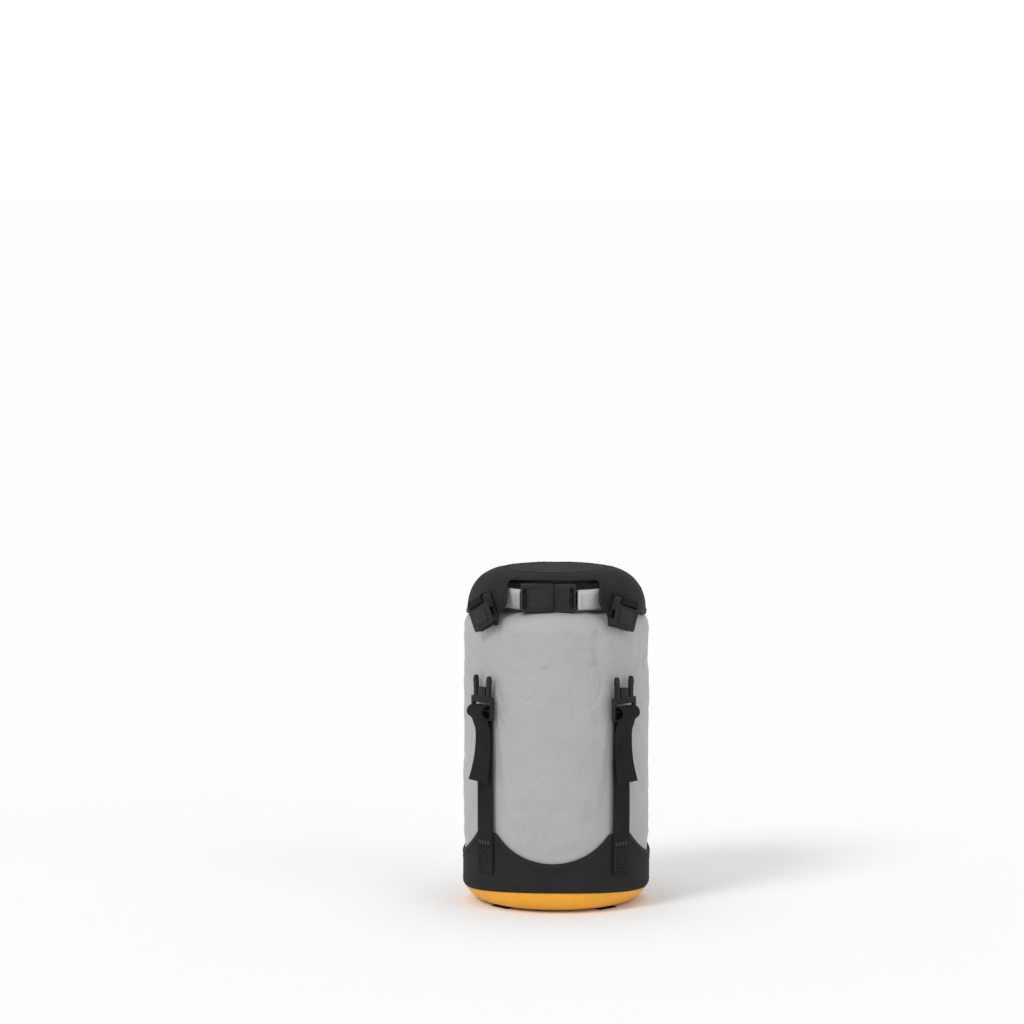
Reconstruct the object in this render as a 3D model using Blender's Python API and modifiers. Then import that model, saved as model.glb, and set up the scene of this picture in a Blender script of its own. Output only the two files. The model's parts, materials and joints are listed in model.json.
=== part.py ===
"""A stuffed compression stuff sack: roll-top sack, strapped lid and four compression straps.

Metres, +Z up. The origin is the centre of the underside, and the roll-top buckle faces -Y.
Pieces that repeat round the sack are drawn once facing -Y and turned to their station about Z.
"""
import math

import bmesh
import bpy
from mathutils import Matrix, Vector

# Driving dimensions
RADIUS = 0.075  # outside of the stuffed sack
FABRIC = 0.0012  # wall of the sack, base and reinforcement, with their seams
GAP = 0.0003  # left between pieces that touch
WEB_THICK = 0.0013  # strap webbing
WEB_WIDE = 0.018
STATIONS = {"front_right": 45, "rear_right": 135, "rear_left": 225, "front_left": 315}

# Base
BASE_LOW = WEB_THICK + GAP  # the base panel lies on the crossed webbing
BASE_ROUND = 0.017
BASE_TOP = 0.020
CROSS_REACH = 0.0625
REINFORCE_LOW = 0.017
REINFORCE_HIGH = 0.0635  # where a leg has narrowed to its strap
ARCH_LOW = 0.0413  # lowest point of the reinforcement's upper edge
ARCH_RADIUS = 0.066  # each arch is part of a circle on the flat cloth

# Sack and its closure
BODY_TOP = 0.242
SHOULDER = 0.018
MOUTH_RADIUS = 0.030
LOAD_SPLIT = 0.112  # the load below this height keeps its shape when the sack is compressed
ROLL_LOW = 0.2445
ROLL_HIGH = 0.2615
ROLL_MIDDLE = (ROLL_LOW + ROLL_HIGH) / 2
ROLL_THICK = 0.0072
ROLL_HALF_WIDE = 0.044  # half axes and centre of the loop that the rolled mouth makes
ROLL_HALF_DEEP = 0.037
ROLL_CENTRE_Y = -0.025
ROLL_RIGHT_DEG = 29  # the roll's ends, on each side of the buckle
ROLL_LEFT_DEG = 325
STIFFENER_THICK = 0.0010
STIFFENER_HIGH = 0.0130
COLLAR_RADIUS = 0.055

# Lid
LID_THICK = 0.0013
LID_FLAT = 0.040  # radius of the crown panel's seam
LID_ROUND = 0.035
LID_SPRING = 0.238  # height at which the dome meets the upright legs
LID_TOP = 0.2735
LID_LEG_LOW = 0.2325
LEG_HALF_DEG = 8.7  # half of a leg's width
LID_SKIRT_LOW = 0.2357  # middle of the flap between two legs
LID_NOTCH_RISE = 0.0095  # from there up to the notch beside a leg
LID_NOTCH_DEG = 33.5
ARCH_HALF = 0.0372  # the high front opening
ARCH_TOP = 0.2682
ARCH_CORNER = 0.0042
ARCH_SLANT = (0.2427, 0.2520)  # heights between which its sides slant in from the legs
CUT_LOW = 0.220  # where the cuts for the lid's openings start, below its legs
CUT_DEPTHS = (0.034, 0.094)

# Side-release buckles, in their own x (along the bar), depth and z (towards the lid)
BUCKLE_HALF = 0.0122
FEMALE_LOW = 0.2295
FEMALE_HIGH = 0.2535
FEMALE_BACK = 0.0770
FEMALE_THICK = 0.0066
SOCKET_HALF = 0.0111
SOCKET_MOUTH_HALF = 0.0116  # the mouth flares, to take a plug that comes in askew
SOCKET_FLARE = 0.003
SOCKET_BACK = 0.0782
SOCKET_THICK = 0.0042
SOCKET_TOP = 0.2465
FEMALE_SLOT = (0.2478, 0.2505)
FEMALE_PIVOT = 0.242
# each socket half hangs askew until its strap is clipped in
LEAN_DEG = {"front_right": 18, "rear_right": -18, "rear_left": 18, "front_left": -27}
SLOT_HALF = 0.0094
MALE_BACK = 0.0786
MALE_THICK = 0.0034
MALE_LOW = 0.1555
MALE_SHOULDER = 0.1745
MALE_TIP = 0.1915
GUIDE_TIP = 0.1822
MALE_SLOTS = ((0.1580, 0.1622), (0.1650, 0.1695))
# half of the guide between the prongs, and a prong from its inner root round its tip to its barb,
# as distances across and heights
GUIDE_OUTLINE = (
    (0.0032, GUIDE_TIP),
    (0.0040, GUIDE_TIP - 0.0010),
    (0.0044, MALE_SHOULDER),
)
PRONG_OUTLINE = (
    (0.0056, MALE_SHOULDER),
    (0.0058, MALE_TIP - 0.0040),
    (0.0064, MALE_TIP - 0.0008),
    (0.0076, MALE_TIP),
    (0.0089, MALE_TIP - 0.0005),
    (0.0096, MALE_TIP - 0.0024),
    (0.0100, MALE_TIP - 0.0052),
    (0.0094, MALE_TIP - 0.0070),
    (0.0092, MALE_SHOULDER),
)

# Straps
STRAP_BACK = 0.0768
ANCHOR_LOW = 0.030
STRAP_LOW = 0.0620  # where the strap leaves its sewn anchor and bends
STRAP_HIGH = 0.1635
TAIL_END = 0.106
SWING_RADIUS = STRAP_BACK + WEB_THICK / 2

# Roll-top buckle
CLIP_MID_X = -0.0037  # the roll is not quite centred
CLIP_BACK_Y = -0.058
CLIP_THICK = 0.0070
CLIP_MID_Z = 0.2548
CLIP_HALF_HIGH = 0.0112
CLIP_END = 0.0220
CLIP_MOUTH = 0.0040
CLIP_SLOT = (0.0173, 0.0200)
CLIP_SOCKET_END = -0.0145
CLIP_TAB_HIGH = 0.0130
CLIP_SLOT_HALF = 0.0084
CLIP_WALL = 0.0012
CLIP_PLUG_THICK = 0.0038
CLIP_WINDOW = (-0.009, -0.002)  # in X from the buckle's middle, for the barbs of the plug


def clear_scene():
    for obj in list(bpy.data.objects):
        bpy.data.objects.remove(obj)


def collection(name):
    made = bpy.data.collections.new(name)
    bpy.context.scene.collection.children.link(made)
    return made


def material(name, colour, roughness):
    made = bpy.data.materials.new(name)
    made.use_nodes = True
    shader = made.node_tree.nodes["Principled BSDF"]
    shader.inputs["Base Color"].default_value = (*colour, 1.0)
    shader.inputs["Roughness"].default_value = roughness
    shader.inputs["Metallic"].default_value = 0.0
    return made


def place(name, mesh, paint, turn=0.0, parent=None):
    """An object with that mesh, turned about Z by so many degrees."""
    obj = bpy.data.objects.new(name, mesh)
    if not mesh.materials:
        mesh.materials.append(paint)
    obj.matrix_world = Matrix.Rotation(math.radians(turn), 4, "Z")
    PARTS.objects.link(obj)
    if parent:
        obj.parent = parent
        obj.matrix_parent_inverse = parent.matrix_basis.inverted()
    return obj


def axis_empty(name, location, turn=0.0, parent=None):
    empty = bpy.data.objects.new(name, None)
    empty.empty_display_size = 0.01
    empty.matrix_world = Matrix.Translation(location) @ Matrix.Rotation(math.radians(turn), 4, "Z")
    PARTS.objects.link(empty)
    if parent:
        empty.parent = parent
        empty.matrix_parent_inverse = parent.matrix_basis.inverted()
    return empty


def arc(centre, radius, start, end, steps):
    """Points on a circle, from one angle in degrees to another."""
    angles = [math.radians(start + (end - start) * i / steps) for i in range(steps + 1)]
    return [(centre[0] + radius * math.cos(a), centre[1] + radius * math.sin(a)) for a in angles]


def evaluated_mesh(obj, name, smooth=True):
    """The finished mesh of an object in world space. The object is removed."""
    bpy.context.view_layer.update()
    graph = bpy.context.evaluated_depsgraph_get()
    mesh = bpy.data.meshes.new_from_object(obj.evaluated_get(graph))
    mesh.name = name
    mesh.transform(obj.matrix_world)
    weld(mesh)
    if smooth:
        mesh.shade_smooth()
        mesh.set_sharp_from_angle(angle=math.radians(35))
    bpy.data.objects.remove(obj)
    return mesh


def weld(mesh):
    work = bmesh.new()
    work.from_mesh(mesh)
    bmesh.ops.remove_doubles(work, verts=work.verts, dist=0.000005)
    work.to_mesh(mesh)
    work.free()


def turned(name, profile, closed=False, steps=64):
    """A solid turned about Z from (radius, z) points that run down its outer side."""
    mesh = bpy.data.meshes.new(name)
    count = len(profile)
    edges = [(i, i + 1) for i in range(count - 1)]
    if closed:
        edges.append((count - 1, 0))
    mesh.from_pydata([(r, 0.0, z) for r, z in profile], edges, [])
    obj = bpy.data.objects.new(name, mesh)
    PARTS.objects.link(obj)
    screw = obj.modifiers.new("turn", "SCREW")
    screw.steps = steps
    screw.render_steps = steps
    screw.use_merge_vertices = True
    screw.merge_threshold = 0.00001
    return evaluated_mesh(obj, name)


def extruded(name, outlines, thickness, matrix):
    """A plate from flat outlines, of which the later ones are holes, centred on the matrix's plane."""
    curve = bpy.data.curves.new(name, "CURVE")
    curve.dimensions = "2D"
    curve.fill_mode = "BOTH"
    curve.extrude = thickness / 2
    for outline in outlines:
        spline = curve.splines.new("POLY")
        spline.points.add(len(outline) - 1)
        spline.use_cyclic_u = True
        for point, (u, v) in zip(spline.points, outline):
            point.co = (u, v, 0.0, 1.0)
    obj = bpy.data.objects.new(name, curve)
    obj.matrix_world = matrix
    PARTS.objects.link(obj)
    return evaluated_mesh(obj, name)


def facing(depth):
    """The plane of a plate that faces -Y, that far in front of the axis: u is X and v is Z."""
    return Matrix.Translation((0.0, -depth, 0.0)) @ Matrix.Rotation(math.pi / 2, 4, "X")


def upright_plane():
    """The plane X = 0: u is the distance in front of the axis and v is Z."""
    return Matrix.Rotation(math.radians(-90), 4, "Z") @ Matrix.Rotation(math.pi / 2, 4, "X")


def ribbon_outline(path, thickness):
    """The closed outline of a strip seen edge on, that follows the path at half thickness each side."""
    near, far = [], []
    for i, point in enumerate(path):
        before = Vector(path[max(i - 1, 0)])
        after = Vector(path[min(i + 1, len(path) - 1)])
        along = (after - before).normalized()
        across = Vector((-along.y, along.x)) * thickness / 2
        near.append(tuple(Vector(point) + across))
        far.append(tuple(Vector(point) - across))
    return near + far[::-1]


def rectangle(low_u, low_v, high_u, high_v):
    return [(low_u, low_v), (high_u, low_v), (high_u, high_v), (low_u, high_v)]


def rounded_rectangle(half_u, low_v, high_v, corner, steps=3):
    """A rectangle about u = 0 with round corners."""
    right, left = half_u - corner, corner - half_u
    points = arc((right, high_v - corner), corner, 90, 0, steps)
    points += arc((right, low_v + corner), corner, 0, -90, steps)
    points += arc((left, low_v + corner), corner, 270, 180, steps)
    points += arc((left, high_v - corner), corner, 180, 90, steps)
    return points


def box_cutter(name, low, high):
    """A box-shaped cutter between two corners."""
    size = [b - a for a, b in zip(low, high)]
    middle = [(a + b) / 2 for a, b in zip(low, high)]
    bpy.ops.mesh.primitive_cube_add(size=1.0, location=middle)
    obj = bpy.context.object
    obj.name = name
    obj.scale = size
    bpy.ops.object.transform_apply(location=False, scale=True)
    return as_cutter(obj)


def as_cutter(obj):
    for owner in list(obj.users_collection):
        owner.objects.unlink(obj)
    CUTTERS.objects.link(obj)
    obj.hide_render = True
    obj.display_type = "WIRE"
    return obj


def outline_cutter(name, outline, thickness, matrix):
    mesh = extruded(name, [outline], thickness, matrix)
    return as_cutter(bpy.data.objects.new(name, mesh))


def cut_mesh(name, mesh, cutters):
    """The mesh with every cutter taken out of it."""
    obj = bpy.data.objects.new(name, mesh)
    PARTS.objects.link(obj)
    for i, cutter in enumerate(cutters):
        hole = obj.modifiers.new(f"cut_{i}", "BOOLEAN")
        hole.operation = "DIFFERENCE"
        hole.solver = "EXACT"
        hole.object = cutter
    return evaluated_mesh(obj, name)


# Base and body


def base_panel():
    """The dished base: flat underneath with a round edge."""
    flat = RADIUS - BASE_ROUND
    inner = BASE_ROUND - FABRIC
    centre = (flat, BASE_LOW + BASE_ROUND)
    profile = [(0.0, BASE_LOW + FABRIC)]
    profile += arc(centre, inner, -90, 0, 4)
    profile += [(RADIUS - FABRIC, BASE_TOP), (RADIUS, BASE_TOP)]
    profile += arc(centre, BASE_ROUND, 0, -90, 4)
    profile += [(0.0, BASE_LOW)]
    place("base_panel", turned("base_panel", profile), YELLOW)


def base_cross():
    """Two lengths of webbing that cross under the base and join opposite straps."""
    half = WEB_WIDE / 2
    quarter = [(half, half), (CROSS_REACH, half), (CROSS_REACH, -half)]
    outline = []
    for step in range(4):
        turn = Matrix.Rotation(-step * math.pi / 2, 2)
        outline += [tuple(turn @ Vector(point)) for point in quarter]
    plane = Matrix.Translation((0.0, 0.0, WEB_THICK / 2)) @ Matrix.Rotation(math.pi / 4, 4, "Z")
    place("base_cross_webbing", extruded("base_cross_webbing", [outline], WEB_THICK, plane), WEBBING)


def sack_body():
    """The fabric tube, drawn in at the shoulder to the mouth that the collar closes."""
    centre = (RADIUS - SHOULDER, BODY_TOP - SHOULDER)
    profile = [(MOUTH_RADIUS, BODY_TOP)]
    profile += arc(centre, SHOULDER, 90, 0, 5)
    profile += [(RADIUS, BASE_TOP + GAP), (RADIUS - FABRIC, BASE_TOP + GAP)]
    profile += arc(centre, SHOULDER - FABRIC, 0, 90, 5)
    profile += [(MOUTH_RADIUS, BODY_TOP - FABRIC)]
    place("sack_body", turned("sack_body", profile, closed=True), GREY)


def stuffing():
    """The soft load: a dense lower half, and an upper half that gives when the straps are pulled."""
    skin = FABRIC + GAP
    low, high = BASE_LOW + skin, BODY_TOP - skin
    side = RADIUS - skin
    top_round, low_round = SHOULDER - skin, BASE_ROUND - skin
    lower = [(0.0, LOAD_SPLIT), (side, LOAD_SPLIT)]
    lower += arc((side - low_round, low + low_round), low_round, 0, -90, 4)
    lower += [(0.0, low)]
    place("stuffing_lower", turned("stuffing_lower", lower, steps=48), FILLING)
    upper = [(0.0, high)]
    upper += arc((side - top_round, high - top_round), top_round, 90, 0, 4)
    upper += [(side, LOAD_SPLIT + GAP), (0.0, LOAD_SPLIT + GAP)]
    place("stuffing_upper", turned("stuffing_upper", upper, steps=48), FILLING)


def arch_height(distance):
    """Height of the reinforcement's upper edge, that far round the sack from an arch's middle."""
    return ARCH_LOW + ARCH_RADIUS - math.sqrt(ARCH_RADIUS**2 - distance**2)


def reinforcement_arch():
    """The outline that is cut away above one side of the band, in X and Z."""
    outer = RADIUS + GAP + FABRIC
    half_round = outer * math.pi / 4 - WEB_WIDE / 2
    steps = 16
    outline = []
    for i in range(-steps, steps + 1):
        distance = half_round * i / steps
        outline.append((outer * math.sin(distance / outer), arch_height(distance)))
    over = REINFORCE_HIGH + 0.01
    return outline + [(outline[-1][0], over), (outline[0][0], over)]


def base_reinforcement():
    """The band round the foot of the sack, with four legs that lead into the straps."""
    inner = RADIUS + GAP
    outer = inner + FABRIC
    profile = [(inner, REINFORCE_HIGH), (outer, REINFORCE_HIGH), (outer, REINFORCE_LOW)]
    profile += [(inner, REINFORCE_LOW)]
    band = turned("band", profile, closed=True, steps=72)
    arch = reinforcement_arch()
    along_y = outline_cutter("arch_front_rear", arch, 0.2, facing(0.0))
    quarter = Matrix.Rotation(math.pi / 2, 4, "Z")
    along_x = outline_cutter("arch_sides", arch, 0.2, quarter @ facing(0.0))
    mesh = cut_mesh("base_reinforcement", band, [along_y, along_x])
    place("base_reinforcement", mesh, CHARCOAL)


# Straps


def strap_ribbon(name, path):
    """A length of webbing seen edge on by (distance from the axis, z) points."""
    outline = ribbon_outline(path, WEB_THICK)
    return extruded(name, [outline], WEB_WIDE, upright_plane())


def strap_anchor_mesh():
    middle = STRAP_BACK + WEB_THICK / 2
    path = [(middle, ANCHOR_LOW), (middle, STRAP_LOW - 2 * GAP)]
    return strap_ribbon("strap_anchor", path)


def box_stitch_mesh():
    """The stitched patch that holds the anchor to its leg."""
    front = STRAP_BACK + WEB_THICK + GAP
    thick = 0.0005
    outline = rounded_rectangle(WEB_WIDE / 2 - 0.002, ANCHOR_LOW + 0.004, STRAP_LOW - 0.012, 0.001, 2)
    return extruded("box_stitch", [outline], thick, facing(front + thick / 2))


def standing_strap_mesh():
    middle = STRAP_BACK + WEB_THICK / 2
    return strap_ribbon("strap_webbing", [(middle, STRAP_LOW), (middle, STRAP_HIGH)])


def tail_mesh():
    """The free end: out through the buckle's upper slot, over the bar in a loop, and down."""
    slot = sum(MALE_SLOTS[1]) / 2
    front = MALE_BACK + MALE_THICK
    strap_front = STRAP_BACK + WEB_THICK
    path = [(MALE_BACK - 0.0004, slot)]
    path += arc((front + 0.0028, slot - 0.0045), 0.0045, 90, -30, 6)
    path += [
        (front + 0.0013, MALE_LOW + 0.0020),
        (front + 0.0011, MALE_LOW - 0.0008),
        (strap_front + 0.0022, MALE_LOW - 0.0070),
        (strap_front + 0.0014, MALE_LOW - 0.0130),
        (strap_front + 0.0028, MALE_LOW - 0.0270),
        (strap_front + 0.0064, MALE_LOW - 0.0410),
        (strap_front + 0.0086, TAIL_END),
    ]
    return strap_ribbon("strap_tail", path)


def male_mesh():
    """The plug half: adjuster frame with two slots, shoulder, two prongs and the guide between them."""
    half = BUCKLE_HALF - 0.0001
    frame = [(half, MALE_SHOULDER), (half, MALE_LOW + 0.0010), (half - 0.0010, MALE_LOW)]
    right = [*GUIDE_OUTLINE, *PRONG_OUTLINE, *frame]
    left = [(-u, v) for u, v in right[::-1]]
    slots = [rectangle(-SLOT_HALF, low, SLOT_HALF, high) for low, high in MALE_SLOTS]
    return extruded("male", [right + left] + slots, MALE_THICK, facing(MALE_BACK + MALE_THICK / 2))


def female_mesh():
    """The socket half: a box open below, with a window in each side and a bar above."""
    outline = rounded_rectangle(BUCKLE_HALF, FEMALE_LOW, FEMALE_HIGH, 0.002)
    slot = rectangle(-SLOT_HALF, FEMALE_SLOT[0], SLOT_HALF, FEMALE_SLOT[1])
    middle = FEMALE_BACK + FEMALE_THICK / 2
    shell = extruded("female", [outline, slot], FEMALE_THICK, facing(middle))
    flared = [(SOCKET_MOUTH_HALF, FEMALE_LOW - 0.002), (SOCKET_MOUTH_HALF, FEMALE_LOW)]
    right = flared + [(SOCKET_HALF, FEMALE_LOW + SOCKET_FLARE), (SOCKET_HALF, SOCKET_TOP)]
    hollow = right + [(-u, v) for u, v in right[::-1]]
    socket = outline_cutter("socket", hollow, SOCKET_THICK, facing(SOCKET_BACK + SOCKET_THICK / 2))
    low, high = FEMALE_LOW + 0.006, SOCKET_TOP - 0.004
    socket_front = SOCKET_BACK + SOCKET_THICK
    windows = box_cutter("windows", (-0.02, -socket_front, low), (0.02, -SOCKET_BACK, high))
    return cut_mesh("female", shell, [socket, windows])


def lid_webbing_mesh():
    """The webbing that hangs a socket half from the lid: down the dome and round the bar."""
    slot = sum(FEMALE_SLOT) / 2
    front = FEMALE_BACK + FEMALE_THICK
    lift = LID_ROUND + 0.0015 + WEB_THICK / 2
    down_dome = arc((LID_FLAT, LID_SPRING), lift, 31, 21, 4)
    path = down_dome + [
        (FEMALE_BACK - 0.0012, slot),
        (front, slot),
        (front + 0.0012, slot + 0.0010),
        (front + 0.0012, FEMALE_HIGH + 0.0002),
        (front - 0.0006, FEMALE_HIGH + 0.0013),
        (front - 0.0036, FEMALE_HIGH + 0.0013),
    ]
    return strap_ribbon("lid_webbing", path)


def tilted(mesh, degrees):
    """The mesh turned in its own plane about the middle of the socket half."""
    pivot = Vector((0.0, 0.0, FEMALE_PIVOT))
    turn = Matrix.Rotation(math.radians(degrees), 4, "Y")
    made = mesh.copy()
    made.transform(Matrix.Translation(pivot) @ turn @ Matrix.Translation(-pivot))
    return made


def on_circle(radius, z, turn):
    """The point that far out, in the direction of a station."""
    angle = math.radians(turn)
    return Vector((radius * math.sin(angle), -radius * math.cos(angle), z))


def straps_and_lid_buckles():
    anchor, stitch, strap = strap_anchor_mesh(), box_stitch_mesh(), standing_strap_mesh()
    tail, male, female, webbing = tail_mesh(), male_mesh(), female_mesh(), lid_webbing_mesh()
    for station, turn in STATIONS.items():
        place(f"strap_anchor_{station}", anchor, WEBBING, turn)
        place(f"strap_stitching_{station}", stitch, THREAD, turn)
        swing = axis_empty(f"swing_{station}", on_circle(SWING_RADIUS, STRAP_LOW, turn), turn)
        place(f"strap_webbing_{station}", strap, WEBBING, turn, swing)
        slide = axis_empty(f"slide_{station}", on_circle(MALE_BACK, MALE_LOW, turn), turn, swing)
        place(f"strap_buckle_{station}", male, PLASTIC, turn, slide)
        place(f"strap_tail_{station}", tail, WEBBING, turn, slide)
        pivot = axis_empty(f"pivot_{station}", on_circle(FEMALE_BACK, FEMALE_PIVOT, turn), turn, LID_AXIS)
        lean = LEAN_DEG[station]
        place(f"lid_buckle_{station}", tilted(female, lean), PLASTIC, turn, pivot)
        place(f"lid_webbing_{station}", tilted(webbing, lean), WEBBING, turn, pivot)


# Roll-top closure


def on_roll(degrees):
    """A point on the middle line of the rolled mouth, counted from the front."""
    angle = math.radians(degrees)
    x = ROLL_HALF_WIDE * math.sin(angle)
    y = ROLL_CENTRE_Y - ROLL_HALF_DEEP * math.cos(angle)
    return (x, y)


def roll_path(first, last, steps):
    return [on_roll(first + (last - first) * i / steps) for i in range(steps + 1)]


def level(z):
    """The horizontal plane at a height: u is X and v is Y."""
    return Matrix.Translation((0.0, 0.0, z))


def rolled_collar():
    """The mouth rolled down and bent into a loop, a flat tube that is open at its two ends."""
    band = ribbon_outline(roll_path(ROLL_RIGHT_DEG, ROLL_LEFT_DEG, 36), ROLL_THICK)
    roll = extruded("roll", [band], ROLL_HIGH - ROLL_LOW, level(ROLL_MIDDLE))
    hollow = ribbon_outline(roll_path(ROLL_RIGHT_DEG - 3, ROLL_LEFT_DEG + 3, 36), 2 * WEB_THICK)
    core = outline_cutter("roll_core", hollow, CLIP_TAB_HIGH + 2 * GAP, level(ROLL_MIDDLE))
    place("rolled_collar", cut_mesh("rolled_collar", roll, [core]), GREY, parent=CLOSURE_AXIS)
    strip = ribbon_outline(roll_path(ROLL_RIGHT_DEG + 20, ROLL_LEFT_DEG - 20, 32), STIFFENER_THICK)
    stiffener = extruded("collar_stiffener", [strip], STIFFENER_HIGH, level(ROLL_MIDDLE))
    place("collar_stiffener", stiffener, PLASTIC, parent=CLOSURE_AXIS)


def collar():
    """The part of the mouth that is not rolled, gathered flat over the stuffing."""
    low = BODY_TOP + GAP
    profile = [(0.0, low + FABRIC), (COLLAR_RADIUS, low + FABRIC), (COLLAR_RADIUS, low), (0.0, low)]
    place("collar", turned("collar", profile), GREY, parent=CLOSURE_AXIS)


def tab_path(slot, side, first, last):
    """From the front of a slot, round the bar behind it and into the roll."""
    back = CLIP_BACK_Y + 0.0010
    path = [(slot, CLIP_BACK_Y - CLIP_THICK - 0.0004), (slot, back - 0.0008)]
    path.append((slot + side * 0.0012, back))
    return path + roll_path(first, last, 4)


def closure_tabs():
    """The webbing tabs that hold the buckle's halves, from inside the roll out through the slots."""
    slot = sum(CLIP_SLOT) / 2
    right = tab_path(CLIP_MID_X + slot, 1, ROLL_RIGHT_DEG + 2, ROLL_RIGHT_DEG + 14)
    left = tab_path(CLIP_MID_X - slot, -1, ROLL_LEFT_DEG - 2, ROLL_LEFT_DEG - 14)
    for side, path in (("right", right), ("left", left)):
        outline = ribbon_outline(path, WEB_THICK)
        mesh = extruded(f"tab_{side}", [outline], CLIP_TAB_HIGH, level(ROLL_MIDDLE))
        place(f"closure_tab_{side}", mesh, WEBBING, parent=CLOSURE_AXIS)


def clip_plane():
    """The plane of the roll-top buckle: u is X and v is the height over its middle."""
    depth = -(CLIP_BACK_Y - CLIP_THICK / 2)
    return Matrix.Translation((CLIP_MID_X, 0.0, CLIP_MID_Z)) @ facing(depth)


def closure_female():
    """The socket half, on the left."""
    high = CLIP_HALF_HIGH
    outline = rectangle(-CLIP_END, -high, CLIP_MOUTH, high)
    tab_slot = rectangle(-CLIP_SLOT[1], -CLIP_SLOT_HALF, -CLIP_SLOT[0], CLIP_SLOT_HALF)
    shell = extruded("closure_female", [outline, tab_slot], CLIP_THICK, clip_plane())
    front, back = CLIP_BACK_Y - CLIP_THICK + CLIP_WALL, CLIP_BACK_Y - CLIP_WALL
    inside = high - 0.0016
    socket = box_cutter(
        "clip_socket",
        (CLIP_MID_X + CLIP_SOCKET_END, front, CLIP_MID_Z - inside),
        (CLIP_MID_X + CLIP_MOUTH + 0.002, back, CLIP_MID_Z + inside),
    )
    left, right = [CLIP_MID_X + edge for edge in CLIP_WINDOW]
    reach = high + 0.005
    windows = box_cutter(
        "clip_windows", (left, front, CLIP_MID_Z - reach), (right, back, CLIP_MID_Z + reach)
    )
    mesh = cut_mesh("closure_female", shell, [socket, windows])
    place("closure_buckle_female", mesh, PLASTIC, parent=CLOSURE_AXIS)


def closure_male():
    """The plug half, on the right, clipped home."""
    tip, shoulder = CLIP_SOCKET_END + 0.003, CLIP_MOUTH + GAP
    upper = [
        (shoulder - 0.0070, 0.0020),
        (shoulder, 0.0024),
        (shoulder, 0.0052),
        (tip + 0.0030, 0.0062),
        (tip, 0.0066),
        (tip, 0.0084),
        (tip + 0.0035, 0.0092),
        (tip + 0.0055, 0.0086),
        (shoulder, 0.0080),
        (shoulder, CLIP_HALF_HIGH),
        (CLIP_END, CLIP_HALF_HIGH),
    ]
    lower = [(u, -v) for u, v in upper[::-1]]
    tab_slot = rectangle(CLIP_SLOT[0], -CLIP_SLOT_HALF, CLIP_SLOT[1], CLIP_SLOT_HALF)
    mesh = extruded("closure_male", [upper + lower, tab_slot], CLIP_PLUG_THICK, clip_plane())
    place("closure_buckle_male", mesh, PLASTIC, parent=CLOSURE_AXIS)


# Lid


def lid_crown():
    """The round panel in the top of the lid, slightly crowned."""
    edge = LID_FLAT - GAP
    profile = [(0.0, LID_TOP), (edge * 0.6, LID_TOP - 0.0002), (edge, LID_SPRING + LID_ROUND)]
    profile += [(r, z - LID_THICK) for r, z in profile[::-1]]
    place("lid_crown", turned("lid_crown", profile), CHARCOAL, parent=LID_AXIS)


def leg_edge():
    """Distance in X from the middle of an opening to the leg beside it."""
    return RADIUS * math.sin(math.radians(45 - LEG_HALF_DEG))


def front_arch():
    """The high opening in the front of the lid, which shows the roll-top buckle, in X and Z."""
    edge = leg_edge()
    low, high = ARCH_SLANT
    right = [(edge, CUT_LOW), (edge, low - 0.0027), (edge - 0.0014, low)]
    right += [(ARCH_HALF + 0.0016, high - 0.0040), (ARCH_HALF, high)]
    right += arc((ARCH_HALF - ARCH_CORNER, ARCH_TOP - ARCH_CORNER), ARCH_CORNER, 0, 90, 4)
    left = [(-u, v) for u, v in right[::-1]]
    return right + left


def skirt_height(degrees):
    """Height of the flap's lower edge, that far round the lid from the flap's middle."""
    return LID_SKIRT_LOW + LID_NOTCH_RISE * (abs(degrees) / 35) ** 1.6


def side_opening():
    """What is cut away under the flap between two legs, with a notch beside each leg."""
    edge = leg_edge()
    steps = 8
    turns = [LID_NOTCH_DEG * (1 - i / steps) for i in range(2 * steps + 1)]
    flap = [(RADIUS * math.sin(math.radians(a)), skirt_height(a)) for a in turns]
    top = LID_SKIRT_LOW + LID_NOTCH_RISE
    right = [(edge, CUT_LOW), (edge, top - 0.0017), (edge - 0.0014, top - 0.0002)]
    left = [(-u, v) for u, v in right[::-1]]
    return right + flap + left


def lid_shell():
    """The dome of the lid with its four legs."""
    centre = (LID_FLAT, LID_SPRING)
    outer = arc(centre, LID_ROUND, 90, 0, 8) + [(RADIUS, LID_LEG_LOW)]
    inner = [(RADIUS - LID_THICK, LID_LEG_LOW)] + arc(centre, LID_ROUND - LID_THICK, 0, 90, 8)
    dome = turned("dome", outer + inner, closed=True, steps=64)
    near, far = CUT_DEPTHS
    middle = (near + far) / 2
    cutters = [outline_cutter("arch_front", front_arch(), far - near, facing(middle))]
    opening = side_opening()
    for turn in (90, 180, 270):
        plane = Matrix.Rotation(math.radians(turn), 4, "Z") @ facing(middle)
        cutters.append(outline_cutter(f"opening_{turn}", opening, far - near, plane))
    place("lid_shell", cut_mesh("lid_shell", dome, cutters), CHARCOAL, parent=LID_AXIS)


clear_scene()
PARTS = collection("stuff_sack")
CUTTERS = collection("cutters")
GREY = material("grey_fabric", (0.44, 0.44, 0.44), 0.6)
CHARCOAL = material("charcoal_fabric", (0.036, 0.036, 0.037), 0.75)
YELLOW = material("yellow_base_fabric", (0.90, 0.42, 0.035), 0.65)
WEBBING = material("black_webbing", (0.026, 0.026, 0.027), 0.7)
PLASTIC = material("black_acetal", (0.028, 0.028, 0.029), 0.4)
THREAD = material("thread", (0.03, 0.03, 0.03), 0.6)
FILLING = material("filling", (0.30, 0.31, 0.33), 0.9)
CLOSURE_AXIS = axis_empty("compression_axis", (0.0, 0.0, ROLL_LOW))
LID_AXIS = axis_empty("lid_axis", (0.0, 0.0, LID_TOP), parent=CLOSURE_AXIS)

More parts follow.
